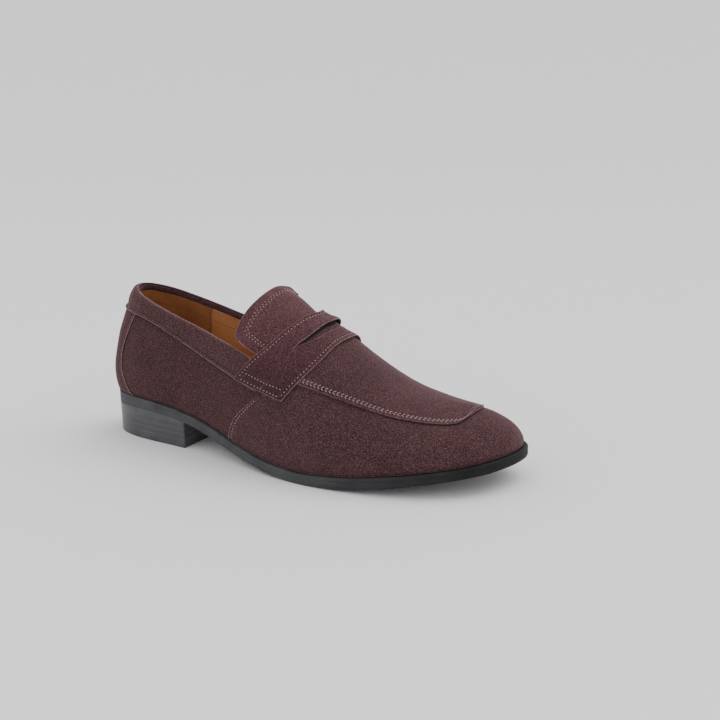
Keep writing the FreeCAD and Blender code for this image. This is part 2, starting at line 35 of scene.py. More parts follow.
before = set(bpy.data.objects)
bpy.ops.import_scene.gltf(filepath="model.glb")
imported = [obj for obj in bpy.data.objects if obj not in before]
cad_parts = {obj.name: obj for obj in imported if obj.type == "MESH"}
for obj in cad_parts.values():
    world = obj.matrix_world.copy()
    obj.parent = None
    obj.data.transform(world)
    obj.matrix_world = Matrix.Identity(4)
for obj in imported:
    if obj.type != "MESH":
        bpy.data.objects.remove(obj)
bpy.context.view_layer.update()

MM = 0.001
HALF_REACH = 149.5
REACH_MIDDLE = 111.0
TOE_SWING = 12.2
RIDGE_BACK, RIDGE_FRONT = 22.0, 222.5
FORM_START, FORM_LENGTH = -40.0, 300.0
MOUTH_END = 0.453

SERIES = {
    "outer_half": (22.0, 28.6, 29.7, 50.6, 54.9, 43.7, 22.4),
    "inner_half": (21.6, 29.0, 27.7, 30.6, 41.2, 41.5, 28.3),
    "feather_high": (28.5, 29.3, 24.3, 12.7, 5.2, 9.0, 15.1, 21.6),
    "ground_side": (18.9, 22.3, 17.6, 5.8, -1.2, 1.1, 8.6, 14.8),
    "ridge_high": (137.5, 124.4, 107.4, 81.7, 49.0, 44.5),
    "ridge_side": (0.0, 0.0, 0.0, 0.5, 0.6, 3.2),
    "swell": (12.9, 9.1, 6.2, 3.9, 2.3, 1.3, 1.1),
    "belly": (0.23, 0.405, 0.505, 0.535, 0.5),
    "crown": (0.42, 0.565, 0.61, 0.58, 0.49),
    "mouth": (0.542, 0.493, 0.453, 0.438, 0.441),
    "band": (0.438, 0.426, 0.360, 0.313, 0.312),
}

SIDE_SEAM = ((0.432, 0.0), (0.449, 0.125), (0.48, 0.257), (0.496, 0.324))
APRON_SEAM = ((0.496, 0.324), (0.549, 0.47), (0.593, 0.503), (0.66, 0.548), (0.74, 0.565), (0.8, 0.57),
              (0.838, 0.59), (0.873, 0.669), (0.92, 0.757), (1.0, 0.815))
STAY_EDGE = ((0.19, 0.0), (0.17, 0.095), (0.155, 0.178), (0.153, 0.264), (0.16, 0.338), (0.171, 0.41))
STRAP_REAR = ((0.447, 0.316), (0.469, 0.451), (0.487, 0.56), (0.501, 0.715), (0.508, 0.857), (0.511, 1.0))
STRAP_FRONT = ((0.53, 0.335), (0.55, 0.484), (0.561, 0.584), (0.569, 0.691), (0.574, 0.85), (0.578, 1.0))
SLOT_REAR = ((0.522, 0.627), (0.532, 0.718), (0.537, 0.821), (0.5385, 1.0))
SLOT_FRONT = ((0.522, 0.627), (0.536, 0.701), (0.546, 0.784), (0.552, 1.0))
TONGUE_MIDDLE = ((91, -33, 74), (97, -20, 94), (107, 2, 103), (106, 14, 99), (101, 22.5, 83))
TONGUE_TIP = ((78, -31, 80.5), (86, -17, 97), (91.5, 2, 106), (94, 14, 104.5), (92, 21, 98.5))
TONGUE_ROOT = ((0.466, 0.48), (0.482, 0.56), (0.496, 0.715), (0.505, 1.0), (0.496, 1.285), (0.482, 1.44),
               (0.466, 1.52))

SUEDE_THICK = 1.4
SIDE_ROW = 2.4         # how far the side seam's stitches lie from the edge
OVERHANG_TOE, OVERHANG_HEEL = 2.5, 0.98
HEEL_FRONT = 38.3
TOP_PIECE_HIGH, LIFT_HIGH = 6.0, 4.0
WELT_THICK = 2.2
RIM_STEPS = 3          # rings in a rounded edge
HALVINGS = 34          # steps of a search by halving
PROBE = 0.02           # step in height at which lengths up the form are measured


# ---------------------------------------------------------------- curves on arrays

def unit(v):
    return v / np.maximum(np.linalg.norm(v, axis=-1, keepdims=True), 1e-9)


def weights(f):
    """The four weights of a uniform cubic B-spline at the fraction f of a span."""
    return ((1 - f) ** 3 / 6, (3 * f ** 3 - 6 * f * f + 4) / 6,
            (3 * f + 3 * f * f - 3 * f ** 3 + 1) / 6, f ** 3 / 6)


def spline(rows, u):
    """Points at u in 0..1 on an open uniform B-spline that starts and ends on its end rows."""
    rows = np.asarray(rows, float).reshape(len(rows), -1)
    full = np.vstack([2 * rows[0] - rows[1], rows, 2 * rows[-1] - rows[-2]])
    k = np.clip(u, 0, 1) * (len(rows) - 1)
    i = np.minimum(k.astype(int), len(rows) - 2)
    return sum(w[..., None] * full[i + j] for j, w in enumerate(weights(k - i)))


def ring(rows, u):
    """Points at u in 0..1 on a closed uniform B-spline."""
    rows = np.asarray(rows, float)
    k = (u % 1.0) * len(rows)
    i = k.astype(int)
    return sum(w[..., None] * rows[(i + j - 1) % len(rows)] for j, w in enumerate(weights(k - i)))


def through(points, u):
    """Points at u in 0..1 on a smooth line through the given points."""
    p = np.asarray(points, float)
    reach = np.concatenate([[0], np.cumsum(np.linalg.norm(np.diff(p, axis=0), axis=1))])
    d = np.clip(u, 0, 1) * reach[-1]
    i = np.clip(np.searchsorted(reach, d, side="right") - 1, 0, len(p) - 2)
    lo, hi = np.maximum(np.arange(len(p)) - 1, 0), np.minimum(np.arange(len(p)) + 1, len(p) - 1)
    slope = (p[hi] - p[lo]) / (reach[hi] - reach[lo])[:, None]
    step = (reach[i + 1] - reach[i])[..., None]
    f = (d - reach[i])[..., None] / step
    return ((2 * f ** 3 - 3 * f * f + 1) * p[i] + (f ** 3 - 2 * f * f + f) * step * slope[i]
            + (3 * f * f - 2 * f ** 3) * p[i + 1] + (f ** 3 - f * f) * step * slope[i + 1])


# ---------------------------------------------------------------- the form

class Form:
    """The foot form: ribs run from the feather line up to the ridge, as in the CAD model."""

    def __init__(self):
        outer, inner = SERIES["outer_half"], SERIES["inner_half"]
        xs = REACH_MIDDLE - HALF_REACH * np.cos(np.pi * np.arange(9) / 8)
        pts = [(xs[0], 0.0)] + [(xs[i], -outer[i - 1]) for i in range(1, 8)]
        pts += [(xs[8], TOE_SWING)] + [(xs[i], inner[i - 1]) for i in range(7, 0, -1)]
        self.outline = np.array(pts)

    def share(self, a):
        a = a % 2.0
        return (1 - np.cos(np.pi * np.minimum(a, 2 - a))) / 2

    def value(self, name, share):
        return spline(SERIES[name], share)[..., 0]

    def level(self, name, x):
        return self.value(name, (x - FORM_START) / FORM_LENGTH)

    def plan(self, a):
        return ring(self.outline, a / 2.0)

    def feather(self, a):
        p = self.plan(a)
        return np.concatenate([p, self.level("feather_high", p[..., 0])[..., None]], -1)

    def crest(self, w):
        x = RIDGE_BACK + (RIDGE_FRONT - RIDGE_BACK) * w
        return np.stack([x, self.value("ridge_side", w), self.value("ridge_high", w)], -1)

    def rib(self, a):
        w = self.share(a)
        foot, top = self.feather(a), self.crest(w)
        way = (top - foot) * (1, 1, 0)
        out = unit(way) * self.value("swell", w)[..., None]
        lo, hi = np.maximum(w - 1e-3, 0), np.minimum(w + 1e-3, 1)
        rise = self.crest(hi) - self.crest(lo)
        fall = rise[..., 2] / rise[..., 0]
        crown = self.value("crown", w)
        up = np.zeros_like(foot)
        up[..., 2] = self.value("belly", w) * (top - foot)[..., 2]
        drop = np.zeros_like(foot)
        drop[..., 2] = crown * fall * way[..., 0]
        return foot, foot - out + up, top - way * crown[..., None] - drop, top

    def surface(self, a, t):
        p = self.rib(a)
        t = t[..., None]
        shares = (1 - t) ** 3, 3 * t * (1 - t) ** 2, 3 * t * t * (1 - t), t ** 3
        return sum(q * share for q, share in zip(p, shares))

    def rise(self, a, low, high):
        """Millimetres per unit of height between two heights."""
        return np.linalg.norm(self.surface(a, high) - self.surface(a, low), axis=-1) / PROBE

    def place(self, a, t):
        """Points and outward normals; a height past 1 lies across the ridge."""
        a, t = np.where(t > 1, 2 - a, a), np.where(t > 1, 2 - t, t)
        e = 2e-3
        along = self.surface(a + e, t) - self.surface(a - e, t)
        up = self.surface(a, np.minimum(t + e, 1)) - self.surface(a, np.maximum(t - e, 0))
        return self.surface(a, t), unit(np.cross(along, up))

    def find(self, x, y):
        """Station and height of the surface points over plan positions."""
        share = (x - RIDGE_BACK) / (RIDGE_FRONT - RIDGE_BACK)
        toe, end = self.feather(np.array(1.0)), self.crest(np.array(1.0))
        ahead = end[1] + (toe[1] - end[1]) * (x - end[0]) / (toe[0] - end[0])
        middle = np.where(share >= 1, ahead, self.crest(np.clip(share, 0, 1))[..., 1])
        lo = np.where(y < middle, 0.02, 1.0)
        hi = np.where(y < middle, 1.0, 1.98)

        def side(a):
            foot, top = self.feather(a), self.crest(self.share(a))
            return (foot - top)[..., 0] * (y - top[..., 1]) - (foot - top)[..., 1] * (x - top[..., 0])

        start = side(lo) < 0
        for _ in range(HALVINGS):
            a = (lo + hi) / 2
            same = (side(a) < 0) == start
            lo, hi = np.where(same, a, lo), np.where(same, hi, a)
        foot, _, _, top = self.rib(a)
        way = (top - foot) * (1, 1, 0)
        goal = (x - foot[..., 0]) * way[..., 0] + (y - foot[..., 1]) * way[..., 1]
        lo, hi = np.full_like(a, 0.2), np.ones_like(a)
        for _ in range(HALVINGS):
            t = (lo + hi) / 2
            below = ((self.surface(a, t) - foot) * way).sum(-1) < goal
            lo, hi = np.where(below, t, lo), np.where(below, hi, t)
        return a, np.minimum(t, 0.9995)


form = Form()


# ---------------------------------------------------------------- patches

def coons(low, high, back, front):
    """A map of the unit square onto the patch between four edges that meet at their ends."""
    ends = [edge(np.array(u)) for edge, u in ((low, 0.0), (low, 1.0), (high, 0.0), (high, 1.0))]

    def at(s, v):
        s1, v1 = s[..., None], v[..., None]
        shares = (1 - s1) * (1 - v1), s1 * (1 - v1), (1 - s1) * v1, s1 * v1
        corners = sum(share * end for share, end in zip(shares, ends))
        return (1 - v1) * low(s) + v1 * high(s) + (1 - s1) * back(v) + s1 * front(v) - corners
    return at


def straight(p, q):
    p, q = np.asarray(p, float), np.asarray(q, float)
    return lambda u: p + (q - p) * u[..., None]


def line(points):
    return lambda u: through(points, u)


def inner_station(p):
    return 2 - p[0], p[1]


def over_ridge(p):
    return p[0], 2 - p[1]


def there_and_back(points, mirror):
    return line(list(points) + [mirror(p) for p in reversed(points[:-1])])


def on_form(patch):
    """Points and normals for patch positions that are stations and heights."""
    def at(s, v):
        p = patch(s, v)
        return form.place(p[..., 0], p[..., 1])
    return at


def strip(start, end, low, high):
    def at(s, v):
        a = start + (end - start) * s
        return np.stack([a, low(a) * (1 - v) + high(a) * v], -1)
    return at


def other_side(patch):
    """The same patch on the inner side of the shoe, run the other way so that it faces outwards."""
    def at(s, v):
        p = patch(1 - s, v)
        return np.stack([2 - p[..., 0], p[..., 1]], -1)
    return at


def mouth(a):
    return form.value("mouth", form.share(a) / MOUTH_END)


def band(a):
    return form.value("band", form.share(a) / MOUTH_END)


def steps(length, fine, coarse, margin=7.0):
    """Sample positions in 0..1 along a length in millimetres, closer together near both ends."""
    if length < 3 * margin:
        return np.linspace(0, 1, max(int(length / fine), 2) + 1)
    edge = np.arange(0, margin, fine)
    inner = np.linspace(margin, length - margin, max(int((length - 2 * margin) / coarse), 2) + 1)
    return np.concatenate([edge, inner, length - edge[::-1]]) / length


def lumps(p, wave, seed):
    """Smooth seeded unevenness in about -1..1, with bumps about a wave length apart."""
    rng = np.random.default_rng(seed)
    total = np.zeros(p.shape[:-1])
    for _ in range(7):
        way = unit(rng.normal(size=3)) * rng.uniform(0.7, 1.5)
        total += np.sin(p @ way * 2 * np.pi / wave + rng.uniform(0, 2 * np.pi))
    return total / 3.5


def groove(d, at, depth=0.28, width=0.75):
    return -depth * np.exp(-((d - at) / width) ** 2)


class Sheet:
    """A grid on a patch, with its distances to the four edges in millimetres."""

    def __init__(self, place, fine=0.7, coarse=1.7):
        u = np.linspace(0, 1, 60)
        s, v = np.meshgrid(u, u, indexing="ij")
        rough = place(s, v)[0]
        long = np.linalg.norm(np.diff(rough, axis=0), axis=-1).sum(0)[20:40].mean()
        wide = np.linalg.norm(np.diff(rough, axis=1), axis=-1).sum(1)[20:40].mean()
        s, v = np.meshgrid(steps(long, fine, coarse), steps(wide, fine, coarse), indexing="ij")
        self.adopt(*place(s, v))

    @classmethod
    def of(cls, points, normals):
        """A sheet on a grid that is already worked out."""
        return cls.__new__(cls).adopt(points, normals)

    def adopt(self, points, normals):
        self.base = self.points = points
        self.normal = self.facing = normals
        self.measure()
        return self

    def measure(self):
        zero = np.zeros_like(self.base[:1, :, 0])
        self.back = np.concatenate([zero, np.cumsum(np.linalg.norm(np.diff(self.base, axis=0), axis=-1), 0)])
        zero = np.zeros_like(self.base[:, :1, 0])
        self.low = np.concatenate([zero, np.cumsum(np.linalg.norm(np.diff(self.base, axis=1), axis=-1), 1)], 1)
        self.front = self.back[-1:] - self.back
        self.high = self.low[:, -1:] - self.low

    def lift(self, height):
        """Moves the grid out along its normals, then works the normals out again."""
        self.points = self.base + self.normal * np.asarray(height)[..., None]
        ds = np.gradient(self.points, axis=0)
        dv = np.gradient(self.points, axis=1)
        fresh = unit(np.cross(ds, dv))
        flip = np.sign((fresh * self.normal).sum(-1, keepdims=True))
        self.facing = np.where(np.linalg.norm(fresh, axis=-1, keepdims=True) > 0.5, fresh * flip, self.normal)
        return self

    def row(self, side, offset, trim_start=2.0, trim_end=2.0):
        """Points and normals along a line at one distance from an edge, for a row of stitches."""
        d = getattr(self, side)
        p, n = self.points, self.facing
        if side in ("back", "front"):
            d, p, n = d.T, p.transpose(1, 0, 2), n.transpose(1, 0, 2)
            start, end = self.low.T, self.high.T
        else:
            start, end = self.back, self.front
        sign = 1 if d[0, -1] > d[0, 0] else -1
        rows = []
        for di, pi, ni, si, ei in zip(d[:, ::sign], p[:, ::sign], n[:, ::sign], start[:, ::sign], end[:, ::sign]):
            j = int(np.clip(np.searchsorted(di, offset), 1, len(di) - 1))
            f = (offset - di[j - 1]) / max(di[j] - di[j - 1], 1e-9)
            f = min(max(f, 0.0), 1.0)
            if si[j] >= trim_start and ei[j] >= trim_end:
                rows.append(np.concatenate([pi[j - 1] * (1 - f) + pi[j] * f, ni[j - 1] * (1 - f) + ni[j] * f]))
        rows = np.array(rows)
        return rows[:, :3], unit(rows[:, 3:])


# ---------------------------------------------------------------- meshes

def mesh_object(name, verts, faces, materials, index=None, crease=math.radians(48)):
    mesh = bpy.data.meshes.new(name)
    mesh.from_pydata((np.asarray(verts) * MM).tolist(), [], [[int(i) for i in f] for f in faces])
    for material in materials:
        mesh.materials.append(material)
    if index is not None:
        mesh.polygons.foreach_set("material_index", np.asarray(index, dtype=np.int32))
    mesh.polygons.foreach_set("use_smooth", np.ones(len(mesh.polygons), dtype=bool))
    mesh.set_sharp_from_angle(angle=crease)
    mesh.update()
    obj = bpy.data.objects.new(name, mesh)
    bpy.context.scene.collection.objects.link(obj)
    return obj


def quads(rows, cols, first=0, flip=False, wrap=False):
    """Faces of a grid of vertices; wrap joins the last row to the first."""
    i, j = np.meshgrid(np.arange(rows if wrap else rows - 1), np.arange(cols - 1), indexing="ij")
    k = (i + 1) % rows
    f = np.stack([i * cols + j, k * cols + j, k * cols + j + 1, i * cols + j + 1], -1).reshape(-1, 4) + first
    return f[:, ::-1] if flip else f


def sheet_solid(name, sheet, thick, radius, materials, pale=0):
    """A closed sheet of leather with rounded edges: materials are its face, edge, back and, for the first few
    columns beside its lower edge, its ridge. On suede the edge and ridge looks are lighter, a painted highlight,
    and the back look on the side walls is darker, painted shade under the edges."""
    p, n = sheet.points, sheet.facing
    rows, cols = p.shape[:2]
    angle = np.linspace(0, math.pi / 2, RIM_STEPS + 1)[1:]

    def spread(count):
        index = np.concatenate([np.zeros(RIM_STEPS, int), np.arange(count), np.full(RIM_STEPS, count - 1)])
        turn = np.concatenate([-angle[::-1], np.zeros(count), angle])
        return index, turn

    def outward(axis):
        move = np.gradient(p, axis=axis)
        move = move - n * (move * n).sum(-1, keepdims=True)
        return unit(move)

    i, turn_i = spread(rows)
    j, turn_j = spread(cols)
    ii, jj = np.meshgrid(i, j, indexing="ij")
    ti, tj = np.meshgrid(turn_i, turn_j, indexing="ij")
    most = np.maximum(np.abs(ti), np.abs(tj))[..., None]
    spread_out = p[ii, jj] + outward(0)[ii, jj] * radius * np.sin(ti)[..., None]
    spread_out = spread_out + outward(1)[ii, jj] * radius * np.sin(tj)[..., None]
    top = spread_out - n[ii, jj] * radius * (1 - np.cos(most))
    under = spread_out - n[ii, jj] * thick
    big_rows, big_cols = top.shape[:2]
    count = big_rows * big_cols
    ahead = np.sum(np.cross(np.gradient(p, axis=0), np.gradient(p, axis=1)) * n) > 0
    faces = [quads(big_rows, big_cols, 0, not ahead), quads(big_rows, big_cols, count, ahead)]
    loop = np.concatenate([np.arange(big_cols - 1), np.arange(big_rows - 1) * big_cols + big_cols - 1,
                           big_rows * big_cols - 1 - np.arange(big_cols - 1),
                           (big_rows - 1 - np.arange(big_rows - 1)) * big_cols])
    after = np.roll(loop, -1)
    wall = np.stack([loop, after, after + count, loop + count], -1)
    faces.append(wall if not ahead else wall[:, ::-1])
    inside = np.zeros((big_rows - 1, big_cols - 1), int)
    inside[:RIM_STEPS] = inside[-RIM_STEPS:] = 1
    inside[:, :RIM_STEPS] = inside[:, -RIM_STEPS:] = 1
    # rim faces take the edge look and these columns the ridge look: on suede both are a painted highlight
    inside[RIM_STEPS:-RIM_STEPS, RIM_STEPS:RIM_STEPS + pale] = 3
    # the back and the side walls take the third look, which on suede is darker: painted shade under the edges
    index = np.concatenate([inside.ravel(), np.full(inside.size + len(wall), 2)])
    verts = np.concatenate([top.reshape(-1, 3), under.reshape(-1, 3)])
    return mesh_object(name, verts, np.concatenate(faces), materials, index)


def resample(points, normals, pitch):
    """Evenly spaced points along a line, with their directions and normals."""
    reach = np.concatenate([[0], np.cumsum(np.linalg.norm(np.diff(points, axis=0), axis=1))])
    count = max(int(reach[-1] / pitch), 1)
    at = (np.arange(count) + 0.5) * reach[-1] / count
    p = np.stack([np.interp(at, reach, points[:, k]) for k in range(3)], 1)
    n = unit(np.stack([np.interp(at, reach, normals[:, k]) for k in range(3)], 1))
    near = [np.stack([np.interp(at + d, reach, points[:, k]) for k in range(3)], 1) for d in (-0.6, 0.6)]
    way = unit(near[1] - near[0])
    return p, unit(way - n * (way * n).sum(1, keepdims=True)), n


HOLE_RING = np.linspace(0, 2 * np.pi, 9)[:-1]


def needle_hole(centre, way, side, up, radius, first):
    """A small dimple where the thread goes into the leather, in a near-black look that is painted shade in the
    hole.
    """
    circle = np.cos(HOLE_RING)[:, None] * way + np.sin(HOLE_RING)[:, None] * side
    ring_out = centre + radius * circle - 0.12 * up
    cap = centre + 0.1 * up
    faces = [(first + i, first + (i + 1) % 8, first + 8) for i in range(8)]
    return np.vstack([ring_out, cap]), faces


def stitches(name, lines, pitch, length, radius, material, slant=0.0, proud=0.35, seed=1):
    """Rows of separate thread stitches: each is a short bead whose ends dip into the leather."""
    rng = np.random.default_rng(seed)
    along = np.linspace(-1, 1, 9)
    around = np.linspace(0, 2 * np.pi, 9)[:-1]
    body = radius * np.sqrt(np.maximum(1 - along ** 4, 0.02))
    dip = radius * 1.1 * along ** 4
    verts, faces, index = [], [], []
    total = 0
    for points, normals in lines:
        p, way, n = resample(points, normals, pitch)
        side = np.cross(n, way)
        turn = slant + rng.normal(0, 0.05, len(p))
        axis = way * np.cos(turn)[:, None] + side * np.sin(turn)[:, None]
        cross = np.cross(n, axis)
        size = length * (1 + rng.normal(0, 0.04, len(p)))
        for c, ax, cr, up, half in zip(p, axis, cross, n, size / 2):
            start = total
            x = (along * half)[:, None, None] * ax
            y = (body[:, None] * np.cos(around))[..., None] * cr
            z = (body[:, None] * np.sin(around) * 0.8 - dip[:, None] + radius * proud)[..., None] * up
            verts.append((c + x + y + z).reshape(-1, 3))
            grid = quads(len(along), len(around), start)
            close = np.arange(len(along) - 1) * len(around) + len(around) - 1 + start
            seam = np.stack([close, close + len(around), close + 1, close + 1 - len(around)], -1)
            faces += [tuple(f) for f in grid] + [tuple(f) for f in seam]
            index += [0] * (len(grid) + len(seam))
            total += len(along) * len(around)
            for end in (-1, 1):
                ring_points, ring_faces = needle_hole(c + end * ax * (half + 0.1), ax, cr, up, radius * 1.25, total)
                verts.append(ring_points)
                faces += ring_faces
                index += [1] * len(ring_faces)
                total += len(ring_points)
    return mesh_object(name, np.concatenate(verts), faces, [material, HOLE_SHADE], index, crease=math.pi)


# ---------------------------------------------------------------- materials

class Nodes:
    """Short hand for building one material."""

    def __init__(self, name):
        self.material = bpy.data.materials.new(name)
        self.material.use_nodes = True
        self.tree = self.material.node_tree
        self.shader = self.tree.nodes["Principled BSDF"]
        self.coords = self.tree.nodes.new("ShaderNodeTexCoord").outputs["Object"]

    def node(self, kind, links, **values):
        """A new node: links are sockets fed by other nodes, values are sockets held at a constant."""
        item = self.tree.nodes.new(kind)
        for key, value in values.items():
            item.inputs[key.replace("_", " ")].default_value = value
        for socket, source in links:
            self.tree.links.new(source, item.inputs[socket])
        return item

    def noise(self, scale, detail=3.0, rough=0.6, coords=None):
        links = [("Vector", coords or self.coords)]
        noise = self.node("ShaderNodeTexNoise", links, Scale=scale, Detail=detail, Roughness=rough)
        return noise.outputs["Fac"]

    def moved(self, **values):
        return self.node("ShaderNodeMapping", [("Vector", self.coords)], **values).outputs["Vector"]

    def reach(self, axis, low, high):
        """0 at the low place on an axis of the row frame and 1 at the high place, in metres."""
        place = self.node("ShaderNodeSeparateXYZ", [("Vector", self.coords)]).outputs[axis]
        part = self.node("ShaderNodeMapRange", [("Value", place)], From_Min=low, From_Max=high)
        return part.outputs["Result"]

    def ramp(self, source, stops):
        item = self.node("ShaderNodeValToRGB", [("Fac", source)])
        while len(item.color_ramp.elements) < len(stops):
            item.color_ramp.elements.new(0.5)
        for element, (place, colour) in zip(item.color_ramp.elements, stops):
            element.position = place
            element.color = (*colour, 1.0)
        return item.outputs["Color"]

    def mix(self, fac, a, b, blend="MIX"):
        item = self.tree.nodes.new("ShaderNodeMix")
        item.data_type = "RGBA"
        item.blend_type = blend
        for socket, value in ((item.inputs["Factor"], fac), (item.inputs[6], a), (item.inputs[7], b)):
            if isinstance(value, (int, float)):
                socket.default_value = value
            elif isinstance(value, tuple):
                socket.default_value = (*value, 1.0)
            else:
                self.tree.links.new(value, socket)
        return item.outputs[2]

    def bump(self, height, strength, distance, before=None):
        links = [("Height", height)] + ([("Normal", before)] if before else [])
        return self.node("ShaderNodeBump", links, Strength=strength, Distance=distance).outputs["Normal"]

    def spread(self, source, low, high):
        """A noise turned into a number from low to high."""
        item = self.node("ShaderNodeMapRange", [("Value", source)], From_Min=0.3, From_Max=0.7, To_Min=low,
                         To_Max=high)
        return item.outputs["Result"]

    def darkened(self, colour, reach, tone_low, tone_high):
        """The colour times a grey that runs from tone_low to tone_high along a reach."""
        shade = self.ramp(reach, [(0.0, (tone_low,) * 3), (1.0, (tone_high,) * 3)])
        return self.mix(1.0, colour, shade, "MULTIPLY")

    def finish(self, colour=None, rough=0.5, normal=None, **constants):
        for socket, value in (("Base Color", colour), ("Roughness", rough), ("Normal", normal)):
            if isinstance(value, (int, float)):
                self.shader.inputs[socket].default_value = value
            elif value is not None:
                self.tree.links.new(value, self.shader.inputs[socket])
        for key, value in constants.items():
            self.shader.inputs[key.replace("_", " ")].default_value = value
        return self.material


TONE_HEIGHTS = (0.058, 0.096)     # where the strap's painted shade runs from shaded low down to lit higher up
TOE_SHADE_REACH = (0.13, 0.235)    # where the sole edge runs from its colour to its painted shade at the toe


def suede(name, dark, mid, light, sheen=0.2, low_painted_shade=1.0):
    """Napped suede: brushed patches, clumps of fibre and single pale fibres; its last argument darkens it lower
    down as painted shade.
    """
    m = Nodes(name)
    patch = m.noise(45.0, 4.0, 0.6)
    clump = m.noise(1350.0, 2.0, 0.6)
    fibre = m.noise(2600.0, 1.0, 0.5)
    speck = m.noise(1500.0, 0.0, 0.5, m.moved(Location=(0.37, 0.37, 0.37)))
    colour = m.ramp(clump, [(0.34, dark), (0.5, mid), (0.68, light)])
    flecks = m.ramp(fibre, [(0.4, (0.3, 0.3, 0.3)), (0.56, (0.5, 0.5, 0.5)), (0.68, (0.85, 0.83, 0.83))])
    colour = m.mix(0.7, colour, flecks, "OVERLAY")
    pale = m.ramp(speck, [(0.66, (0.0, 0.0, 0.0)), (0.78, (0.5, 0.5, 0.5))])
    colour = m.mix(pale, colour, tuple(min(1.7 * c, 0.5) for c in light))
    deep = m.ramp(speck, [(0.24, (0.6, 0.6, 0.6)), (0.36, (0.0, 0.0, 0.0))])
    colour = m.mix(deep, colour, tuple(0.5 * c for c in dark))
    brushed = m.ramp(patch, [(0.3, (0.4, 0.39, 0.39)), (0.7, (0.6, 0.59, 0.59))])
    colour = m.mix(0.6, colour, brushed, "OVERLAY")
    # painted shade: the colour darkens lower down
    colour = m.darkened(colour, m.reach("Z", *TONE_HEIGHTS), low_painted_shade, 1.0)
    normal = m.bump(fibre, 0.55, 0.0003)
    normal = m.bump(clump, 0.4, 0.0005, normal)
    return m.finish(colour, 0.93, normal, Sheen_Weight=sheen, Sheen_Roughness=0.45,
                    Sheen_Tint=(0.95, 0.58, 0.61, 1.0), Specular_IOR_Level=0.12)


def smooth_leather(name, dark, light):
    """Lining leather: fine pores, soft stains and a dull shine."""
    m = Nodes(name)
    stain = m.noise(26.0, 4.0, 0.6)
    pores = m.noise(1500.0, 3.0, 0.6)
    colour = m.ramp(stain, [(0.3, dark), (0.7, light)])
    grain = m.ramp(pores, [(0.35, (0.4, 0.4, 0.4)), (0.6, (0.56, 0.56, 0.56))])
    colour = m.mix(0.45, colour, grain, "OVERLAY")
    normal = m.bump(pores, 0.25, 0.0002)
    normal = m.bump(m.noise(180.0), 0.2, 0.0006, normal)
    return m.finish(colour, m.spread(stain, 0.4, 0.56), normal, Specular_IOR_Level=0.4)


def thread(name, dark, light):
    m = Nodes(name)
    twist = m.node("ShaderNodeTexWave", [("Vector", m.coords)], Scale=1500.0, Distortion=2.0).outputs["Fac"]
    colour = m.ramp(twist, [(0.1, dark), (0.8, light)])
    return m.finish(colour, 0.7, m.bump(twist, 0.4, 0.0001), Sheen_Weight=0.2)


def black_rubber(name, dark, light, rough, specular=0.36, toe_painted_shade=1.0):
    """Sole edge: dyed black, burnished, with faint streaks along the edge; its last argument darkens it toward the
    toe as painted shade.
    """
    m = Nodes(name)
    streak = m.noise(1.0, 3.0, 0.6, m.moved(Scale=(14.0, 14.0, 900.0)))
    cloud = m.noise(60.0, 3.0, 0.6)
    grain = m.noise(1800.0, 2.0, 0.6)
    colour = m.ramp(cloud, [(0.3, dark), (0.7, light)])
    tone = m.ramp(streak, [(0.35, (0.42, 0.42, 0.42)), (0.65, (0.58, 0.58, 0.58))])
    colour = m.mix(0.6, colour, tone, "OVERLAY")
    # painted shade: darker toward the toe
    colour = m.darkened(colour, m.reach("X", *TOE_SHADE_REACH), 1.0, toe_painted_shade)
    normal = m.bump(grain, 0.12, 0.0002)
    normal = m.bump(streak, 0.12, 0.0002, normal)
    return m.finish(colour, m.spread(cloud, rough - 0.06, rough + 0.08), normal, Specular_IOR_Level=specular)


def rough_stuff(name, dark, light, scale, rough, metal=0.0):
    """Cork, foam, board and plain steel of the inner pieces, and the near-black used as painted shadow and as
    painted shade in needle holes.
    """
    m = Nodes(name)
    grain = m.noise(scale, 4.0, 0.7)
    colour = m.ramp(grain, [(0.35, dark), (0.65, light)])
    return m.finish(colour, rough, m.bump(grain, 0.4, 0.0004), Metallic=metal)


PLUM = suede("plum_suede", (0.0268, 0.0119, 0.0126), (0.0588, 0.0267, 0.0287), (0.1084, 0.0556, 0.0596))
# a darker copy of the plum suede for the quarters and heel foxing: painted shade on sides turned from the light
PLUM_SHADED = suede("plum_suede_shaded", (0.0240, 0.0102, 0.0109), (0.0523, 0.0229, 0.0246),
                    (0.0968, 0.0476, 0.0512), 0.15)
# lighter plum tones for the tongue and strap: painted light on their lit upper faces
LIT_TONES = (0.0342, 0.0140, 0.0154), (0.0775, 0.0322, 0.0363), (0.1402, 0.0667, 0.0734)
PLUM_TONGUE = suede("plum_suede_lit_top", *LIT_TONES, 0.28)
# the strap's lit tones, darkened lower down as painted shade
PLUM_STRAP = suede("plum_suede_strap", *LIT_TONES, low_painted_shade=0.64)
# lighter plum for the collar's ridge and the apron's and collar's rims: painted highlight where they catch the
# light
PLUM_RIDGE_HIGHLIGHT = suede("plum_suede_ridge_highlight", (0.0502, 0.0225, 0.0246), (0.1004, 0.0503, 0.0535),
                   (0.1707, 0.0941, 0.1005), 0.3)
# lighter plum for the rounded rims: painted highlight where edges catch the light
PLUM_EDGE_HIGHLIGHT = suede("plum_suede_edge_highlight", (0.114, 0.057, 0.06175), (0.1995, 0.114, 0.1187),
                  (0.285, 0.1805, 0.1852), 0.4)
# the flesh side under each sheet, also put on the cut walls, where its darkness is painted shade under the edges
PLUM_BACK_SHADE = suede("plum_flesh_side_and_wall_shade", (0.02046, 0.0093, 0.01023), (0.03906, 0.01767, 0.01953),
                  (0.0651, 0.03348, 0.03627), 0.15)
TAN = smooth_leather("tan_lining", (0.42, 0.175, 0.072), (0.60, 0.285, 0.125))
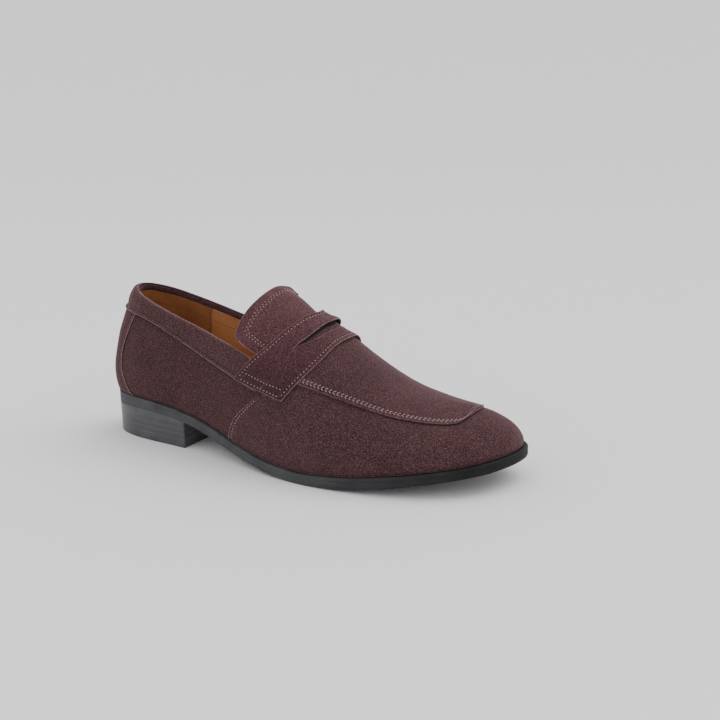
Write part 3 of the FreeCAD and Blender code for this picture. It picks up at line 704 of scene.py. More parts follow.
# a darker copy of the tan lining for the heel lining: painted shade deep in the heel
HEEL_TAN_SHADED = smooth_leather("tan_heel_lining_shaded", (0.25, 0.1, 0.038), (0.42, 0.18, 0.075))
SEAT_TAN = smooth_leather("tan_sock", (0.36, 0.16, 0.06), (0.5, 0.25, 0.1))
ROSE = thread("rose_thread", (0.17, 0.085, 0.09), (0.46, 0.3, 0.31))
# near-black for strips laid where shade falls: painted shadow
PAINTED_SHADOW = rough_stuff("painted_shadow_black", (0.006, 0.0035, 0.0035), (0.012, 0.007, 0.007), 900.0, 0.95)
PLUM_THREAD = thread("plum_thread", (0.08, 0.038, 0.042), (0.24, 0.14, 0.145))
TAN_THREAD = thread("tan_thread", (0.09, 0.035, 0.012), (0.26, 0.11, 0.04))
# near-black for the needle holes: painted shade in the hole
HOLE_SHADE = rough_stuff("needle_hole", (0.006, 0.003, 0.003), (0.015, 0.008, 0.008), 900.0, 0.95)
# the sole edge is painted darker toward the toe: painted shade
BLACK = black_rubber("black_sole_edge", (0.042, 0.042, 0.044), (0.072, 0.072, 0.076), 0.55, 0.12, 0.22)
BLACK_HEEL = black_rubber("black_heel_stack", (0.042, 0.042, 0.045), (0.07, 0.07, 0.075), 0.34)
BLACK_FLAT = black_rubber("black_sole_ground", (0.018, 0.018, 0.02), (0.035, 0.035, 0.038), 0.62)
CORK = rough_stuff("cork", (0.16, 0.08, 0.03), (0.42, 0.27, 0.15), 500.0, 0.9)
FOAM = rough_stuff("foam", (0.22, 0.21, 0.20), (0.42, 0.41, 0.40), 1400.0, 0.95)
BOARD = rough_stuff("fibre_board", (0.22, 0.13, 0.06), (0.40, 0.27, 0.15), 900.0, 0.8)
STEEL = rough_stuff("plain_steel", (0.40, 0.40, 0.42), (0.6, 0.6, 0.62), 700.0, 0.35, 1.0)
# looks of a suede sheet: its face, its rounded edge in a lighter plum (painted highlight), and its back and walls
# in a darker plum (painted shade under the edges)
SUEDE_SET, SHADED_SET, STRAP_SET, TONGUE_SET = ([face, PLUM_EDGE_HIGHLIGHT, PLUM_BACK_SHADE]
                                              for face in (PLUM, PLUM_SHADED, PLUM_STRAP, PLUM_TONGUE))


def settle(obj, body="shoe", nodes=()):
    """Rides a finished piece on its body and hides the CAD parts it stands for."""
    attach(obj, body)
    if nodes:
        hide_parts(*nodes)
    return obj


def foot_tuck(sheet):
    """The slight pull inwards where an upper piece goes down behind the welt."""
    return -0.5 * np.exp(-(sheet.low / 1.2) ** 2)


def suede_piece(name, sheet, thick, radius, looks, *nodes, pale=0):
    return settle(sheet_solid(name, sheet, thick, radius, looks, pale), nodes=nodes)


def lining_piece(name, sheet, thick, radius, look, *nodes):
    return settle(sheet_solid(name, sheet, thick, radius, [look] * 3), nodes=nodes)


def sewn(name, lines, pitch, length, radius, material, *settings, seed, nodes=()):
    """A row of stitches that rides on the shoe."""
    return settle(stitches(name, lines, pitch, length, radius, material, *settings, seed=seed),
                  nodes=nodes)


# ---------------------------------------------------------------- vamp and apron

def vamp():
    patch = coons(straight(SIDE_SEAM[0], inner_station(SIDE_SEAM[0])), there_and_back(APRON_SEAM, inner_station),
                  line(SIDE_SEAM), lambda v: through(SIDE_SEAM, v) * (-1, 1) + (2, 0))
    sheet = Sheet(on_form(patch))
    seam = np.minimum(sheet.back, sheet.front)
    raised = 1.0 * np.exp(-(seam / 11.0) ** 2) + groove(seam, SIDE_ROW, 0.3)
    tuck = -0.5 * np.exp(-sheet.high / 1.5) + foot_tuck(sheet)
    sheet.lift(raised + tuck + 0.16 * lumps(sheet.base, 34.0, 3) + 0.05 * lumps(sheet.base, 9.0, 4))
    suede_piece("vamp_suede", sheet, SUEDE_THICK, 0.75, SUEDE_SET, "vamp")
    lines = [sheet.row(side, SIDE_ROW, 1.5, 8.0) for side in ("back", "front")]
    sewn("side_seam_stitches", lines, 2.3, 1.15, 0.3, ROSE, seed=11)
    inner = Sheet(on_form(inner_part(patch)), 1.2, 2.0).lift(-3.0)
    lining_piece("vamp_lining_leather", inner, 1.0, 0.2, TAN, "vamp_lining")


def inner_part(patch, first=0.01, last=0.99, low=0.05, high=0.99):
    """The patch between four lines that run inside another patch, near its edges."""
    def along(v):
        return lambda u: patch(first + (last - first) * u, v + 0 * u)

    def up(s):
        return lambda v: patch(s + 0 * v, low + (high - low) * v)
    return coons(along(low), along(high), up(first), up(last))


def apron_place(shrink, back):
    """Positions over the top of the forepart, inside the apron seam, found from the plan."""
    seam = np.array(APRON_SEAM[1:])
    edge = form.surface(seam[:, 0], seam[:, 1])
    other = form.surface(2 - seam[:, 0], seam[:, 1])
    corner = 6
    outer = [(back, edge[0, 1] + shrink)] + [(p[0], p[1] + shrink) for p in edge[:corner + 1]]
    inner = [(back, other[0, 1] - shrink)] + [(p[0], p[1] - shrink) for p in other[:corner + 1]]
    toe = [(p[0] - shrink, p[1]) for p in edge[corner + 1:]]
    toe += [(p[0] - shrink, p[1]) for p in other[corner + 1:-1][::-1]]
    patch = coons(line(outer), line(inner), straight(outer[0], inner[0]), line([outer[-1], *toe, inner[-1]]))

    def at(s, v):
        p = patch(s, v)
        return form.place(*form.find(p[..., 0], p[..., 1]))
    return at


def apron():
    sheet = Sheet(apron_place(-0.3, 127.5))
    edge = np.minimum(np.minimum(sheet.low, sheet.high), sheet.front)
    roll = 0.5 + 0.7 * np.exp(-(edge / 5.0) ** 2)
    rows = groove(edge, 2.5, 0.3, 1.1) + groove(edge, 4.6, 0.2, 0.7)
    sheet.lift(roll + rows + 0.14 * lumps(sheet.base, 30.0, 5) + 0.05 * lumps(sheet.base, 8.0, 6))
    suede_piece("apron_suede", sheet, SUEDE_THICK, 0.6, [PLUM, PLUM_RIDGE_HIGHLIGHT, PLUM_BACK_SHADE], "apron")
    # a near-black strip along the apron seam: painted shadow under the apron's edge
    painted_shadow_strip("apron_painted_shadow", there_and_back(APRON_SEAM[1:], inner_station), 0.8, 1.0, 0.12)
    chevrons(sheet)
    inner = Sheet(apron_place(3.0, 129.0), 2.0, 3.0).lift(-1.7)
    lining_piece("apron_lining_leather", inner, 1.0, 0.2, TAN, "apron_lining")


def chevrons(sheet):
    """The hand stitch round the apron: two slanted rows that lean together."""
    rows = (("apron_edge_stitches", 1.75, -0.62, ["apron_stitching"]), ("apron_second_stitches", 3.25, 0.62, []))
    for number, (name, offset, slant, nodes) in enumerate(rows):
        outer = sheet.row("low", offset, 6.0, offset)
        inner = sheet.row("high", offset, 6.0, offset)
        toe = sheet.row("front", offset, offset, offset)
        sewn(name + "_outer", [outer], 2.5, 2.0, 0.26, ROSE, slant, 0.4, seed=21 + number, nodes=nodes)
        sewn(name + "_inner", [inner], 2.5, 2.0, 0.26, ROSE, -slant, 0.4, seed=23 + number)
        sewn(name + "_toe", [toe], 1.9, 1.0, 0.22, ROSE, 0.0, 0.4, seed=25 + number)


def painted_shadow_strip(name, path, below, above, lift):
    """A near-black strip laid just under an edge as painted shadow: path gives station and height, widths are in
    millimetres.
    """
    def place(s, v):
        p = path(s)
        a, t = p[..., 0], p[..., 1]
        cross = np.where(t > 1, 2 - t, t)
        return form.place(a, t + (above * v - below * (1 - v)) / form.rise(a, cross - PROBE, cross))

    sheet = Sheet(place, 0.4, 1.4).lift(lift)
    suede_piece(name, sheet, 0.4, 0.1, [PAINTED_SHADOW] * 3)


# ---------------------------------------------------------------- quarters, foxing, collar

def quarters():
    front = ((0.44, 0.0), (0.457, 0.125), (0.488, 0.257), (0.505, 0.34), (0.51, 0.44))
    start = 0.003

    def high(u):
        a = start + (front[-1][0] - start) * u
        return np.stack([a, mouth(a) + (front[-1][1] - mouth(np.array(front[-1][0]))) * u], -1)

    patch = coons(straight((start, 0.0), front[0]), high, straight((start, 0.0), high(np.array(0.0))), line(front))
    for name, shape, seed in (("quarter_outer", patch, 7), ("quarter_inner", other_side(patch), 8)):
        sheet = Sheet(on_form(shape), 1.0, 2.0)
        tuck = -0.9 * np.exp(-(sheet.high / 5.0) ** 2) + foot_tuck(sheet)
        sheet.lift(tuck + 0.18 * lumps(sheet.base, 36.0, seed) + 0.05 * lumps(sheet.base, 9.0, seed + 20))
        # the quarters take the darker plum: painted shade
        suede_piece(name + "_suede", sheet, 1.2, 0.4, SHADED_SET, name)


def foxing():
    top = [(a, float(band(np.array(abs(a)))) + 0.012) for a in (-0.171, -0.1, 0.0, 0.1, 0.171)]
    side = [*STAY_EDGE[:-1], top[-1]]
    patch = coons(straight((-STAY_EDGE[0][0], 0.0), (STAY_EDGE[0][0], 0.0)), line(top),
                  line([(-a, t) for a, t in side]), line(side))
    sheet = Sheet(on_form(patch))
    edge = np.minimum(sheet.back, sheet.front)
    sheet.lift(0.95 + groove(edge, 1.8, 0.2) + foot_tuck(sheet) + 0.12 * lumps(sheet.base, 26.0, 9))
    # the foxing takes the darker plum: painted shade
    suede_piece("heel_foxing_suede", sheet, 1.0, 0.5, SHADED_SET, "heel_foxing")
    lines = [sheet.row(side, 1.8, 1.0, 4.0) for side in ("back", "front")]
    sewn("foxing_stitches", lines, 1.8, 1.2, 0.2, PLUM_THREAD, seed=31)


COLLAR_OUT, COLLAR_IN = 1.25, -3.4     # lifts of the collar's outer and inner faces
FACING_DEEP = 1.2                      # how far the collar's suede reaches down inside the rim
RIDGE_WIDE = 2.1                       # turned ridge along the collar's lower edge
BAND_SHARES = np.concatenate([np.linspace(0, 0.3, 20), np.linspace(0.3, 1, 16)[1:]])


COLLAR_END, SHADOW_END = 0.485, 0.45     # stations where the collar and its painted shadow strip end, under the strap


def collar_section(stations):
    """Heights and lifts across the collar: band, turn over the rim, and down inside."""
    radius, middle = (COLLAR_OUT - COLLAR_IN) / 2, (COLLAR_OUT + COLLAR_IN) / 2
    top, bottom = mouth(stations), band(stations)
    scale = form.rise(stations, top - PROBE, top)
    scale_low = form.rise(stations, bottom, bottom + PROBE)
    heights, lifts = [], []
    for u in BAND_SHARES:
        height = bottom * (1 - u) + (top - radius / scale) * u
        d = (height - bottom) * scale_low
        plump = 0.35 * u + 0.75 * np.sin(np.pi * min(max(u - 0.16, 0) / 0.84, 1)) ** 0.8
        ridge = 1.15 * np.exp(-((d - 0.5 * RIDGE_WIDE) / 0.95) ** 4)
        heights.append(height)
        lifts.append(COLLAR_OUT - 0.35 + plump + ridge + groove(d, RIDGE_WIDE + 0.6, 0.3, 0.6))
    for phi in np.linspace(0, math.pi, 13)[1:]:
        heights.append(top - radius / scale + radius * math.sin(phi) / scale)
        lifts.append(np.full_like(top, middle + radius * math.cos(phi)))
    for d in np.linspace(0, FACING_DEEP, 4)[1:]:
        heights.append(top - (radius + d) / scale)
        lifts.append(np.full_like(top, COLLAR_IN - 0.3 * math.sin(math.pi * d / FACING_DEEP)))
    return np.stack(heights, 1), np.stack(lifts, 1)


def collar():
    """Padded collar: one suede strip from the band's lower edge over the rim and down inside."""
    stations = np.linspace(-COLLAR_END, COLLAR_END, 300)
    heights, lifts = collar_section(stations)
    points, normals = form.place(np.repeat(stations[:, None], heights.shape[1], 1), heights)
    wobble = 0.16 * lumps(points, 22.0, 12) + 0.05 * lumps(points, 7.0, 13)
    points = points + normals * (lifts + wobble)[..., None]
    sheet = Sheet.of(points, unit(np.cross(np.gradient(points, axis=0), np.gradient(points, axis=1))))
    looks = [PLUM, PLUM_RIDGE_HIGHLIGHT, PLUM_BACK_SHADE, PLUM_RIDGE_HIGHLIGHT]
    # the ridge columns take the lighter ridge look: painted highlight
    ridge_columns = int((BAND_SHARES < 0.11).sum())
    obj = suede_piece("collar_suede", sheet, 0.9, 0.5, looks, "collar_band", "collar_facing", "collar_padding",
                      pale=ridge_columns)

    def lower_edge(u):
        station = (2 * u - 1) * SHADOW_END
        return np.stack([station, band(station)], -1)

    # a near-black strip under the collar's lower edge: painted shadow
    painted_shadow_strip("collar_painted_shadow", lower_edge, 1.1, 1.5, 0.3)
    sewn("collar_stitches", [sheet.row("low", RIDGE_WIDE + 0.6, 1.0, 1.0)], 2.2, 1.1, 0.22, PLUM_THREAD, seed=41)


LINING_SPLIT = 0.287    # station of the upright seam in the lining
LINING_TOP = 0.03       # how far below the topline the linings end, as a height


LINING_LIFT = -2.9      # the linings' good side over the form
LINING_ROW = 9.0        # how far their upper stitch row lies from their top edge


def lining_strip(start, end):
    def low(a):
        return 0.02 + 0 * a

    def high(a):
        return mouth(a) - LINING_TOP
    return strip(start, end, low, high)


def linings():
    """Heel and quarter linings: their good side faces the foot."""
    side = lining_strip(LINING_SPLIT, 0.50)
    specs = (("quarter_lining_outer", side, TAN, 51), ("quarter_lining_inner", other_side(side), TAN, 52),
             ("heel_lining", lining_strip(-LINING_SPLIT, LINING_SPLIT), HEEL_TAN_SHADED, 53))
    lines = []
    for name, shape, look, seed in specs:
        sheet = Sheet(on_form(shape), 1.0, 2.4)
        unevenness = 0.25 * lumps(sheet.base, 30.0, seed) + 0.12 * lumps(sheet.base, 11.0, seed)
        lift = LINING_LIFT + unevenness - groove(sheet.high, LINING_ROW, 0.3, 0.8)
        if name == "heel_lining":
            lift = lift - 0.35 * np.exp(-(np.minimum(sheet.back, sheet.front) / 2.2) ** 2)
        sheet.lift(lift)
        sheet.facing = -sheet.facing
        lining_piece(name + "_leather", sheet, 0.9, 0.2, look, name)
        lines.append(sheet.row("high", LINING_ROW))
    uprights = [sheet.row("back", 1.4), sheet.row("front", 1.4)]
    sewn("lining_stitches", lines, 2.4, 1.4, 0.26, TAN_THREAD, seed=54)
    sewn("lining_seam_stitches", uprights, 2.6, 1.7, 0.36, TAN_THREAD, seed=55)


# ---------------------------------------------------------------- strap and tongue

def tongue_surface(s, v):
    root = through(TONGUE_ROOT, v)
    under = np.minimum(s, 0.0)
    p, n = form.place(root[..., 0] - under * 0.12, root[..., 1])
    start = p - n * (1.9 - under * 3.0)[..., None]
    k = np.maximum(s, 0.0)[..., None]
    mid, tip = through(TONGUE_MIDDLE, v), through(TONGUE_TIP, v)
    p = (1 - k) ** 2 * start + 2 * k * (1 - k) * mid + k * k * tip
    p[..., 0] += 5.0 * np.abs(2 * v - 1) ** 4 * np.maximum(s, 0) ** 3
    return p


def tongue_place(trim=0.0, deep=0.0):
    def at(s, v):
        s = -0.35 + (1.35 - trim) * s
        v = trim + (1 - 2 * trim) * v
        e = 1e-3
        vc = np.clip(v, e, 1 - e)
        along = tongue_surface(s + e, vc) - tongue_surface(s - e, vc)
        across = tongue_surface(s, vc + e) - tongue_surface(s, vc - e)
        n = unit(np.cross(across, along))
        n = np.where(n[..., 2:] < 0, -n, n)
        return tongue_surface(s, v) - n * deep, n
    return at


TONGUE_ROWS = (6.2, 8.0)               # distances of its stitch rows from the edge
BEND_START, BEND_END = (0.124, 0.0, 0.092), (0.100, 0.0, 0.098)     # metres: two points on the tongue, which no bend uses


def tongue():
    """The tongue, its stitches and its lining."""
    sheet = Sheet(tongue_place())
    edge = np.minimum(np.minimum(sheet.low, sheet.high), sheet.front)
    rows = sum(groove(edge, offset, 0.28, 0.7) for offset in TONGUE_ROWS)
    sheet.lift(rows + 0.15 * lumps(sheet.base, 24.0, 15))
    obj = sheet_solid("tongue_suede", sheet, SUEDE_THICK, 0.5, TONGUE_SET)
    lines = []
    for offset in TONGUE_ROWS:
        lines += [sheet.row("low", offset, 12.0, offset), sheet.row("high", offset, 12.0, offset)]
        lines += [sheet.row("front", offset, offset, offset)]
    thread_rows = stitches("tongue_stitches", lines, 2.5, 1.0, 0.32, ROSE, 0.35, seed=61)
    inner = Sheet(tongue_place(0.05, SUEDE_THICK + 0.1), 1.6, 2.4).lift(0.0)
    lining = sheet_solid("tongue_lining_leather", inner, 1.0, 0.3, [TAN] * 3)
    for piece, slot, nodes in ((obj, "suede_plum", ["tongue"]), (thread_rows, "thread_rose", []),
                               (lining, "leather_tan", ["tongue_lining"])):
        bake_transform(piece)
        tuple(BEND_START)
        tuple(BEND_END)
        if nodes:
            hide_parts(*nodes)


def softened(rows, rounds):
    """Evens out a grid of points or directions along its rows, where they cross the ridge."""
    for _ in range(rounds):
        rows = np.concatenate([rows[:1], 0.25 * rows[:-2] + 0.5 * rows[1:-1] + 0.25 * rows[2:], rows[-1:]])
    return rows


STRAP_THICK = 1.3
STRAP_ROWS, BAND_COLUMNS = 190, 15
STRAP_LIFT = 1.75                      # the strap's face over the foot form
OVER_COLLAR = 1.2                      # extra lift where its rear edge crosses the collar
SLOT_ARCH, SLOT_SINK = 2.3, -0.75      # lift of the slot's rear and front edges
FRONT_ARCH = 1.3                       # lift of the strap's front edge over the apron
EDGE_ROW, END_ROW, SECOND_END_ROW = 2.2, 1.8, 7.0


def strap_lines():
    """Outer edge and slot edge of the band behind the slot and of the band in front of it.

    Beside the slot both bands share the strap's middle line, which runs to the slot's tip."""
    span = np.linspace(0, 1, STRAP_ROWS)
    rear, front = (there_and_back(edge, over_ridge)(span) for edge in (STRAP_REAR, STRAP_FRONT))
    middle = 0.5 * (rear + front)
    height = middle[:, 1]
    tip_station, tip_height = SLOT_REAR[0]
    up = np.clip((height - height[0]) / (tip_height - height[0]), 0, 1)
    down = np.clip((height[-1] - height) / (height[-1] - (2 - tip_height)), 0, 1)
    share = np.where(height > 1, down, up)
    closed = middle[:, 0] * (1 - share) + tip_station * share
    is_open = (height > tip_height) & (height < 2 - tip_height)
    for outer, slot in ((rear, SLOT_REAR), (front, SLOT_FRONT)):
        side = there_and_back(slot, over_ridge)(np.linspace(0, 1, 400))
        station = np.where(is_open, np.interp(height, side[:, 1], side[:, 0]), closed)
        yield outer, np.stack([station, height], -1)


def strap_band(outer, slot, behind):
    """One band as a grid from its outer edge to the slot, lifted where it arches over what lies under it."""
    k = np.linspace(0, 1, BAND_COLUMNS)
    ease = (0.5 - 0.5 * np.cos(np.pi * k))[:, None]
    p = outer[:, None] * (1 - ease) + slot[:, None] * ease
    t = p[..., 1]
    points, normals = form.place(p[..., 0], t)
    sheet = Sheet.of(softened(points, 40), unit(softened(normals, 40)))
    edge, inward = sheet.low, sheet.high
    end = np.minimum(sheet.back[:, :1], sheet.front[:, :1])
    tip = SLOT_REAR[0][1]
    opened = np.sin(np.pi * np.clip((t[:, -1] - tip) / (2 - 2 * tip), 0, 1))[:, None] ** 0.7
    lift = (SLOT_ARCH if behind else SLOT_SINK) * opened * np.exp(-(inward / 5.0) ** 2)
    if behind:
        lift += OVER_COLLAR * np.exp(-(np.maximum(edge - 2, 0) / 9.0) ** 2) * np.exp(-((end - 7) / 16.0) ** 2)
    else:
        arch = np.sin(np.pi * np.clip((t - t[0, 0]) / (t[-1, 0] - t[0, 0]), 0, 1)) ** 3
        lift += FRONT_ARCH * arch * np.exp(-(edge / 5.0) ** 2)
    rows = groove(edge, EDGE_ROW, 0.3) + groove(end, END_ROW, 0.3) + groove(end, SECOND_END_ROW, 0.3)
    return sheet.lift(STRAP_LIFT + lift + rows + 0.12 * lumps(sheet.base, 20.0, 17))


def slot_ground(name, share, hidden, lift, material):
    """A strip under the slot, from below its rear edge over a share of its width."""
    rear, front = there_and_back(SLOT_REAR, over_ridge), there_and_back(SLOT_FRONT, over_ridge)

    def place(s, v):
        start, end = rear(0.03 + 0.94 * s), front(0.03 + 0.94 * s)
        p = start + (end - start) * (share * v)[..., None]
        return form.place(p[..., 0] - hidden * (1 - v), p[..., 1])

    sheet = Sheet(place, 0.4, 1.4).lift(lift)
    suede_piece(name, sheet, 0.3, 0.1, [material] * 3)


def strap():
    """The saddle strap: two bands that are one piece beside the slot."""
    bands = [strap_band(*lines, behind) for lines, behind in zip(strap_lines(), (True, False))]
    for name, sheet in zip(("strap_rear_suede", "strap_front_suede"), bands):
        suede_piece(name, sheet, STRAP_THICK, 0.35, STRAP_SET, "saddle_strap")
    slot_ground("slot_floor", 1.0, 0.012, 0.55, PLUM)
    # a near-black strip under the slot's rear edge: painted shadow
    slot_ground("slot_shade", 0.3, 0.010, 0.75, PAINTED_SHADOW)
    lines = [sheet.row("low", EDGE_ROW, 2.5, 2.5) for sheet in bands]
    for sheet in bands:
        for side in ("back", "front"):
            lines += [sheet.row(side, END_ROW, 2.5, 0.0), sheet.row(side, SECOND_END_ROW, 3.5, 0.0)]
    sewn("strap_stitches", lines, 2.4, 1.15, 0.3, ROSE, 0.1, seed=71)


# ---------------------------------------------------------------- bottom unit

RING_STEPS = 720          # stations round the sole
UNDER_REACH = 5.0         # how far welt and outsole go in under the upper
SOLE_SEAM = 0.35          # how far the welt's top lies below the feather line
TREAD_START, TREAD_END, TREAD_PITCH, TREAD_DEEP, TREAD_EDGE = 110.0, 236.0, 4.2, 0.6, 7.0
FLOOR_LANES = 19          # vertices across the ground side


def overhang(x):
    """How far the sole stands out past the feather line."""
    share = np.clip((x + 20) / 90, 0, 1)
    return OVERHANG_HEEL + (OVERHANG_TOE - OVERHANG_HEEL) * share


def outline(a):
    """Plan of the feather line and its outward direction."""
    way = unit(form.plan(a + 0.004) - form.plan(a - 0.004))
    return form.plan(a), np.stack([way[..., 1], -way[..., 0]], -1)


def edge_band(profile):
    """Vertices of a band round the shoe: profile(x) gives columns of outward offset and height."""
    p, out = outline(np.linspace(0, 2, RING_STEPS, endpoint=False))
    columns = np.stack([np.stack(np.broadcast_arrays(*column), -1) for column in profile(p[:, 0])], 1)
    xy = p[:, None] + out[:, None] * columns[..., :1]
    return np.concatenate([xy, columns[..., 1:]], -1)


def welt():
    def profile(x):
        top = form.level("feather_high", x) - SOLE_SEAM
        reach = overhang(x)
        bevel = 0.35 + 0.75 * np.clip((x - 10) / 60, 0, 1)
        low = top - WELT_THICK
        return [(-UNDER_REACH, top - 0.2), (-0.6, top - 0.25), (reach * 0.3, top), (reach - bevel, top),
                (reach - bevel * 0.45, top - 0.22 * bevel), (reach - 0.06, top - bevel * 0.75),
                (reach, top - bevel - 0.1), (reach, low + 0.22), (reach - 0.05, low + 0.15),
                (-UNDER_REACH, low + 0.15)]

    verts = edge_band(profile)
    rows, cols = verts.shape[:2]
    i = np.arange(rows) * cols
    k = np.roll(i, -1)
    inner_wall = np.stack([i, i + cols - 1, k + cols - 1, k], -1)[:, ::-1]
    faces = np.concatenate([quads(rows, cols, wrap=True, flip=True), inner_wall])
    obj = mesh_object("welt_strip", verts.reshape(-1, 3), faces, [BLACK], crease=math.radians(60))
    settle(obj, nodes=["welt"])


def sole_wall():
    """The outsole's burnished side wall, from under the welt round to the ground side."""
    def profile(x):
        reach = overhang(x)
        base = np.maximum(form.level("ground_side", x), 0.0)
        top = form.level("feather_high", x) - SOLE_SEAM - WELT_THICK + 0.13
        free = np.clip((x - HEEL_FRONT) / 2.0, 0.02, 1)
        return [(-UNDER_REACH, top), (reach - 0.05, top), (reach, top - 0.06),
                (reach + 0.05, (top + base) / 2), (reach, base + 0.8 * free),
                (reach - 0.2 * free, base + 0.25 * free), (reach - 0.75 * free, base)]
    return edge_band(profile)


def sole_floor(wall):
    """Lanes across the ground side, one per pair of opposite stations, with fine ribs under the ball."""
    rows = len(wall)
    stations = np.arange(1, rows // 2)
    left, right = wall[stations, -1], wall[rows - stations, -1]
    u = np.linspace(0, 1, FLOOR_LANES + 2)[1:-1]
    floor = left[:, None] * (1 - u)[:, None] + right[:, None] * u[:, None]
    x = floor[..., 0]
    inward = np.minimum(u, 1 - u) * np.linalg.norm(left - right, axis=-1)[:, None]
    rib = 0.5 + 0.5 * np.cos(2 * np.pi * x / TREAD_PITCH)
    tread = np.clip((inward - TREAD_EDGE) / 1.5, 0, 1)
    tread = tread * np.clip((x - TREAD_START) / 4, 0, 1) * np.clip((TREAD_END - x) / 4, 0, 1)
    floor[..., 2] = np.maximum(form.level("ground_side", x), 0) + TREAD_DEEP * tread * (rib > 0.5)
    return floor


def outsole():
    """Outsole: side wall, ground side and a flat lid under the insole."""
    wall = sole_wall()
    floor = sole_floor(wall)
    rows, width = wall.shape[:2]
    half, lanes = rows // 2, FLOOR_LANES
    first = rows * width
    last = first + (half - 2) * lanes

    def rim(i):
        return i * width + width - 1

    side = [tuple(f) for f in quads(rows, width, wrap=True, flip=True)]
    ground = [tuple(f) for f in quads(half - 1, lanes, first)]
    for k in range(half - 2):
        near, far = first + k * lanes, first + (k + 1) * lanes
        ground.append((rim(k + 1), rim(k + 2), far, near))
        ground.append((near + lanes - 1, far + lanes - 1, rim(rows - k - 2), rim(rows - k - 1)))
    for k in range(lanes - 1):
        ground.append((rim(0), first + k, first + k + 1))
        ground.append((rim(half), last + k + 1, last + k))
    ground += [(rim(0), rim(1), first), (rim(0), first + lanes - 1, rim(rows - 1))]
    ground += [(rim(half - 1), rim(half), last), (last + lanes - 1, rim(half), rim(half + 1))]
    lid = tuple(i * width for i in range(rows))
    verts = np.concatenate([wall.reshape(-1, 3), floor.reshape(-1, 3)])
    index = [0] * len(side) + [1] * (len(ground) + 1)
    obj = mesh_object("outsole_rubber", verts, side + ground + [lid], [BLACK, BLACK_FLAT], index,
                      crease=math.radians(50))
    settle(obj, nodes=["outsole"])


def heel_outline(shrink):
    """Plan of the heel block: the sole's edge cut by a straight front with small corner radii."""
    p, out = outline(np.linspace(-0.6, 0.6, 400))
    p = p + out * (overhang(p[:, 0]) - shrink)[:, None]
    p = p[p[:, 0] < HEEL_FRONT - shrink - 0.6]
    corner = 0.6 if p[-1, 1] < p[0, 1] else -0.6
    across = np.linspace(p[-1, 1] + corner, p[0, 1] - corner, 30)
    return np.concatenate([p, np.stack([np.full(30, HEEL_FRONT - shrink), across], 1)])


def heel_layer(name, node, low, high, bevel, inset):
    """One layer of the heel between two heights given as functions of x, with bevelled edges."""
    rings = []
    for level, way in ((low, 1), (high, -1)):
        for shrink, rise in ((bevel, 0.0), (bevel * 0.3, bevel * 0.3), (0.0, bevel))[::way]:
            xy = heel_outline(shrink + inset)
            z = level(xy[:, 0]) + way * rise
            rings.append(np.concatenate([xy, z[:, None]], 1))
    count = min(len(r) for r in rings)
    rings = [r[np.linspace(0, len(r) - 1, count).astype(int)] for r in rings]
    centres = np.array([rings[0].mean(0), rings[-1].mean(0)])
    centres[:, 2] = [level(c[:1])[0] for level, c in zip((low, high), centres)]
    faces = []
    for k in range(len(rings) - 1):
        faces += [(k * count + i, k * count + (i + 1) % count, (k + 1) * count + (i + 1) % count,
                   (k + 1) * count + i) for i in range(count)]
    hub, top = len(rings) * count, (len(rings) - 1) * count
    for i in range(count):
        j = (i + 1) % count
        faces += [(hub, j, i), (hub + 1, top + i, top + j)]
    obj = mesh_object(name, np.concatenate([*rings, centres]), faces, [BLACK_HEEL], crease=math.radians(35))
    settle(obj, nodes=[node])


def heel():
    seam = 0.02
    levels = [0.0, *(TOP_PIECE_HIGH + 0.1 + LIFT_HIGH * k for k in range(3))]

    def flat(z):
        return lambda x: z + 0 * x

    def under_sole(x):
        return form.level("ground_side", x) - seam

    layers = (("heel_top_piece", "top_piece", 0.12, 0.0), ("heel_lift_low", "heel_lift_lower", 0.03, 0.02),
              ("heel_lift_high", "heel_lift_upper", 0.03, 0.03))
    for (name, node, bevel, inset), low, high in zip(layers, levels, levels[1:]):
        heel_layer(name, node, flat(low), flat(high - seam), bevel, inset)
    heel_layer("heel_seat", "heel_seat_wedge", flat(levels[-1]), under_sole, 0.03, 0.01)


SOCK_INSET = 5.2


def sock():
    """The footbed's leather cover, dished under the heel."""
    def rim(a):
        p, out = outline(a)
        return p - SOCK_INSET * out

    def place(s, v):
        a = 0.03 + 0.94 * s
        xy = rim(a) * (1 - v)[..., None] + rim(2 - a) * v[..., None]
        z = form.level("feather_high", xy[..., 0]) + 4.8 + 0.9 * np.abs(2 * v - 1) ** 4
        p = np.concatenate([xy, z[..., None]], -1)
        return p, np.broadcast_to(np.array([0.0, 0.0, 1.0]), p.shape)

    sheet = Sheet(place, 1.5, 2.5)
    sheet.lift(0.15 * lumps(sheet.base, 40.0, 18))
    lining_piece("sock_leather", sheet, 0.8, 0.3, SEAT_TAN, "sock_lining")


# ---------------------------------------------------------------- stage

AZIMUTH, ELEVATION, ROLL = 29.146, 14.588, -1.152      # the camera's angles in degrees
CAMERA_AIM, CAMERA_AWAY = (135.12, 33.76, 55.13), 682.5         # millimetres
LENS, SENSOR = 51.98, 36.0


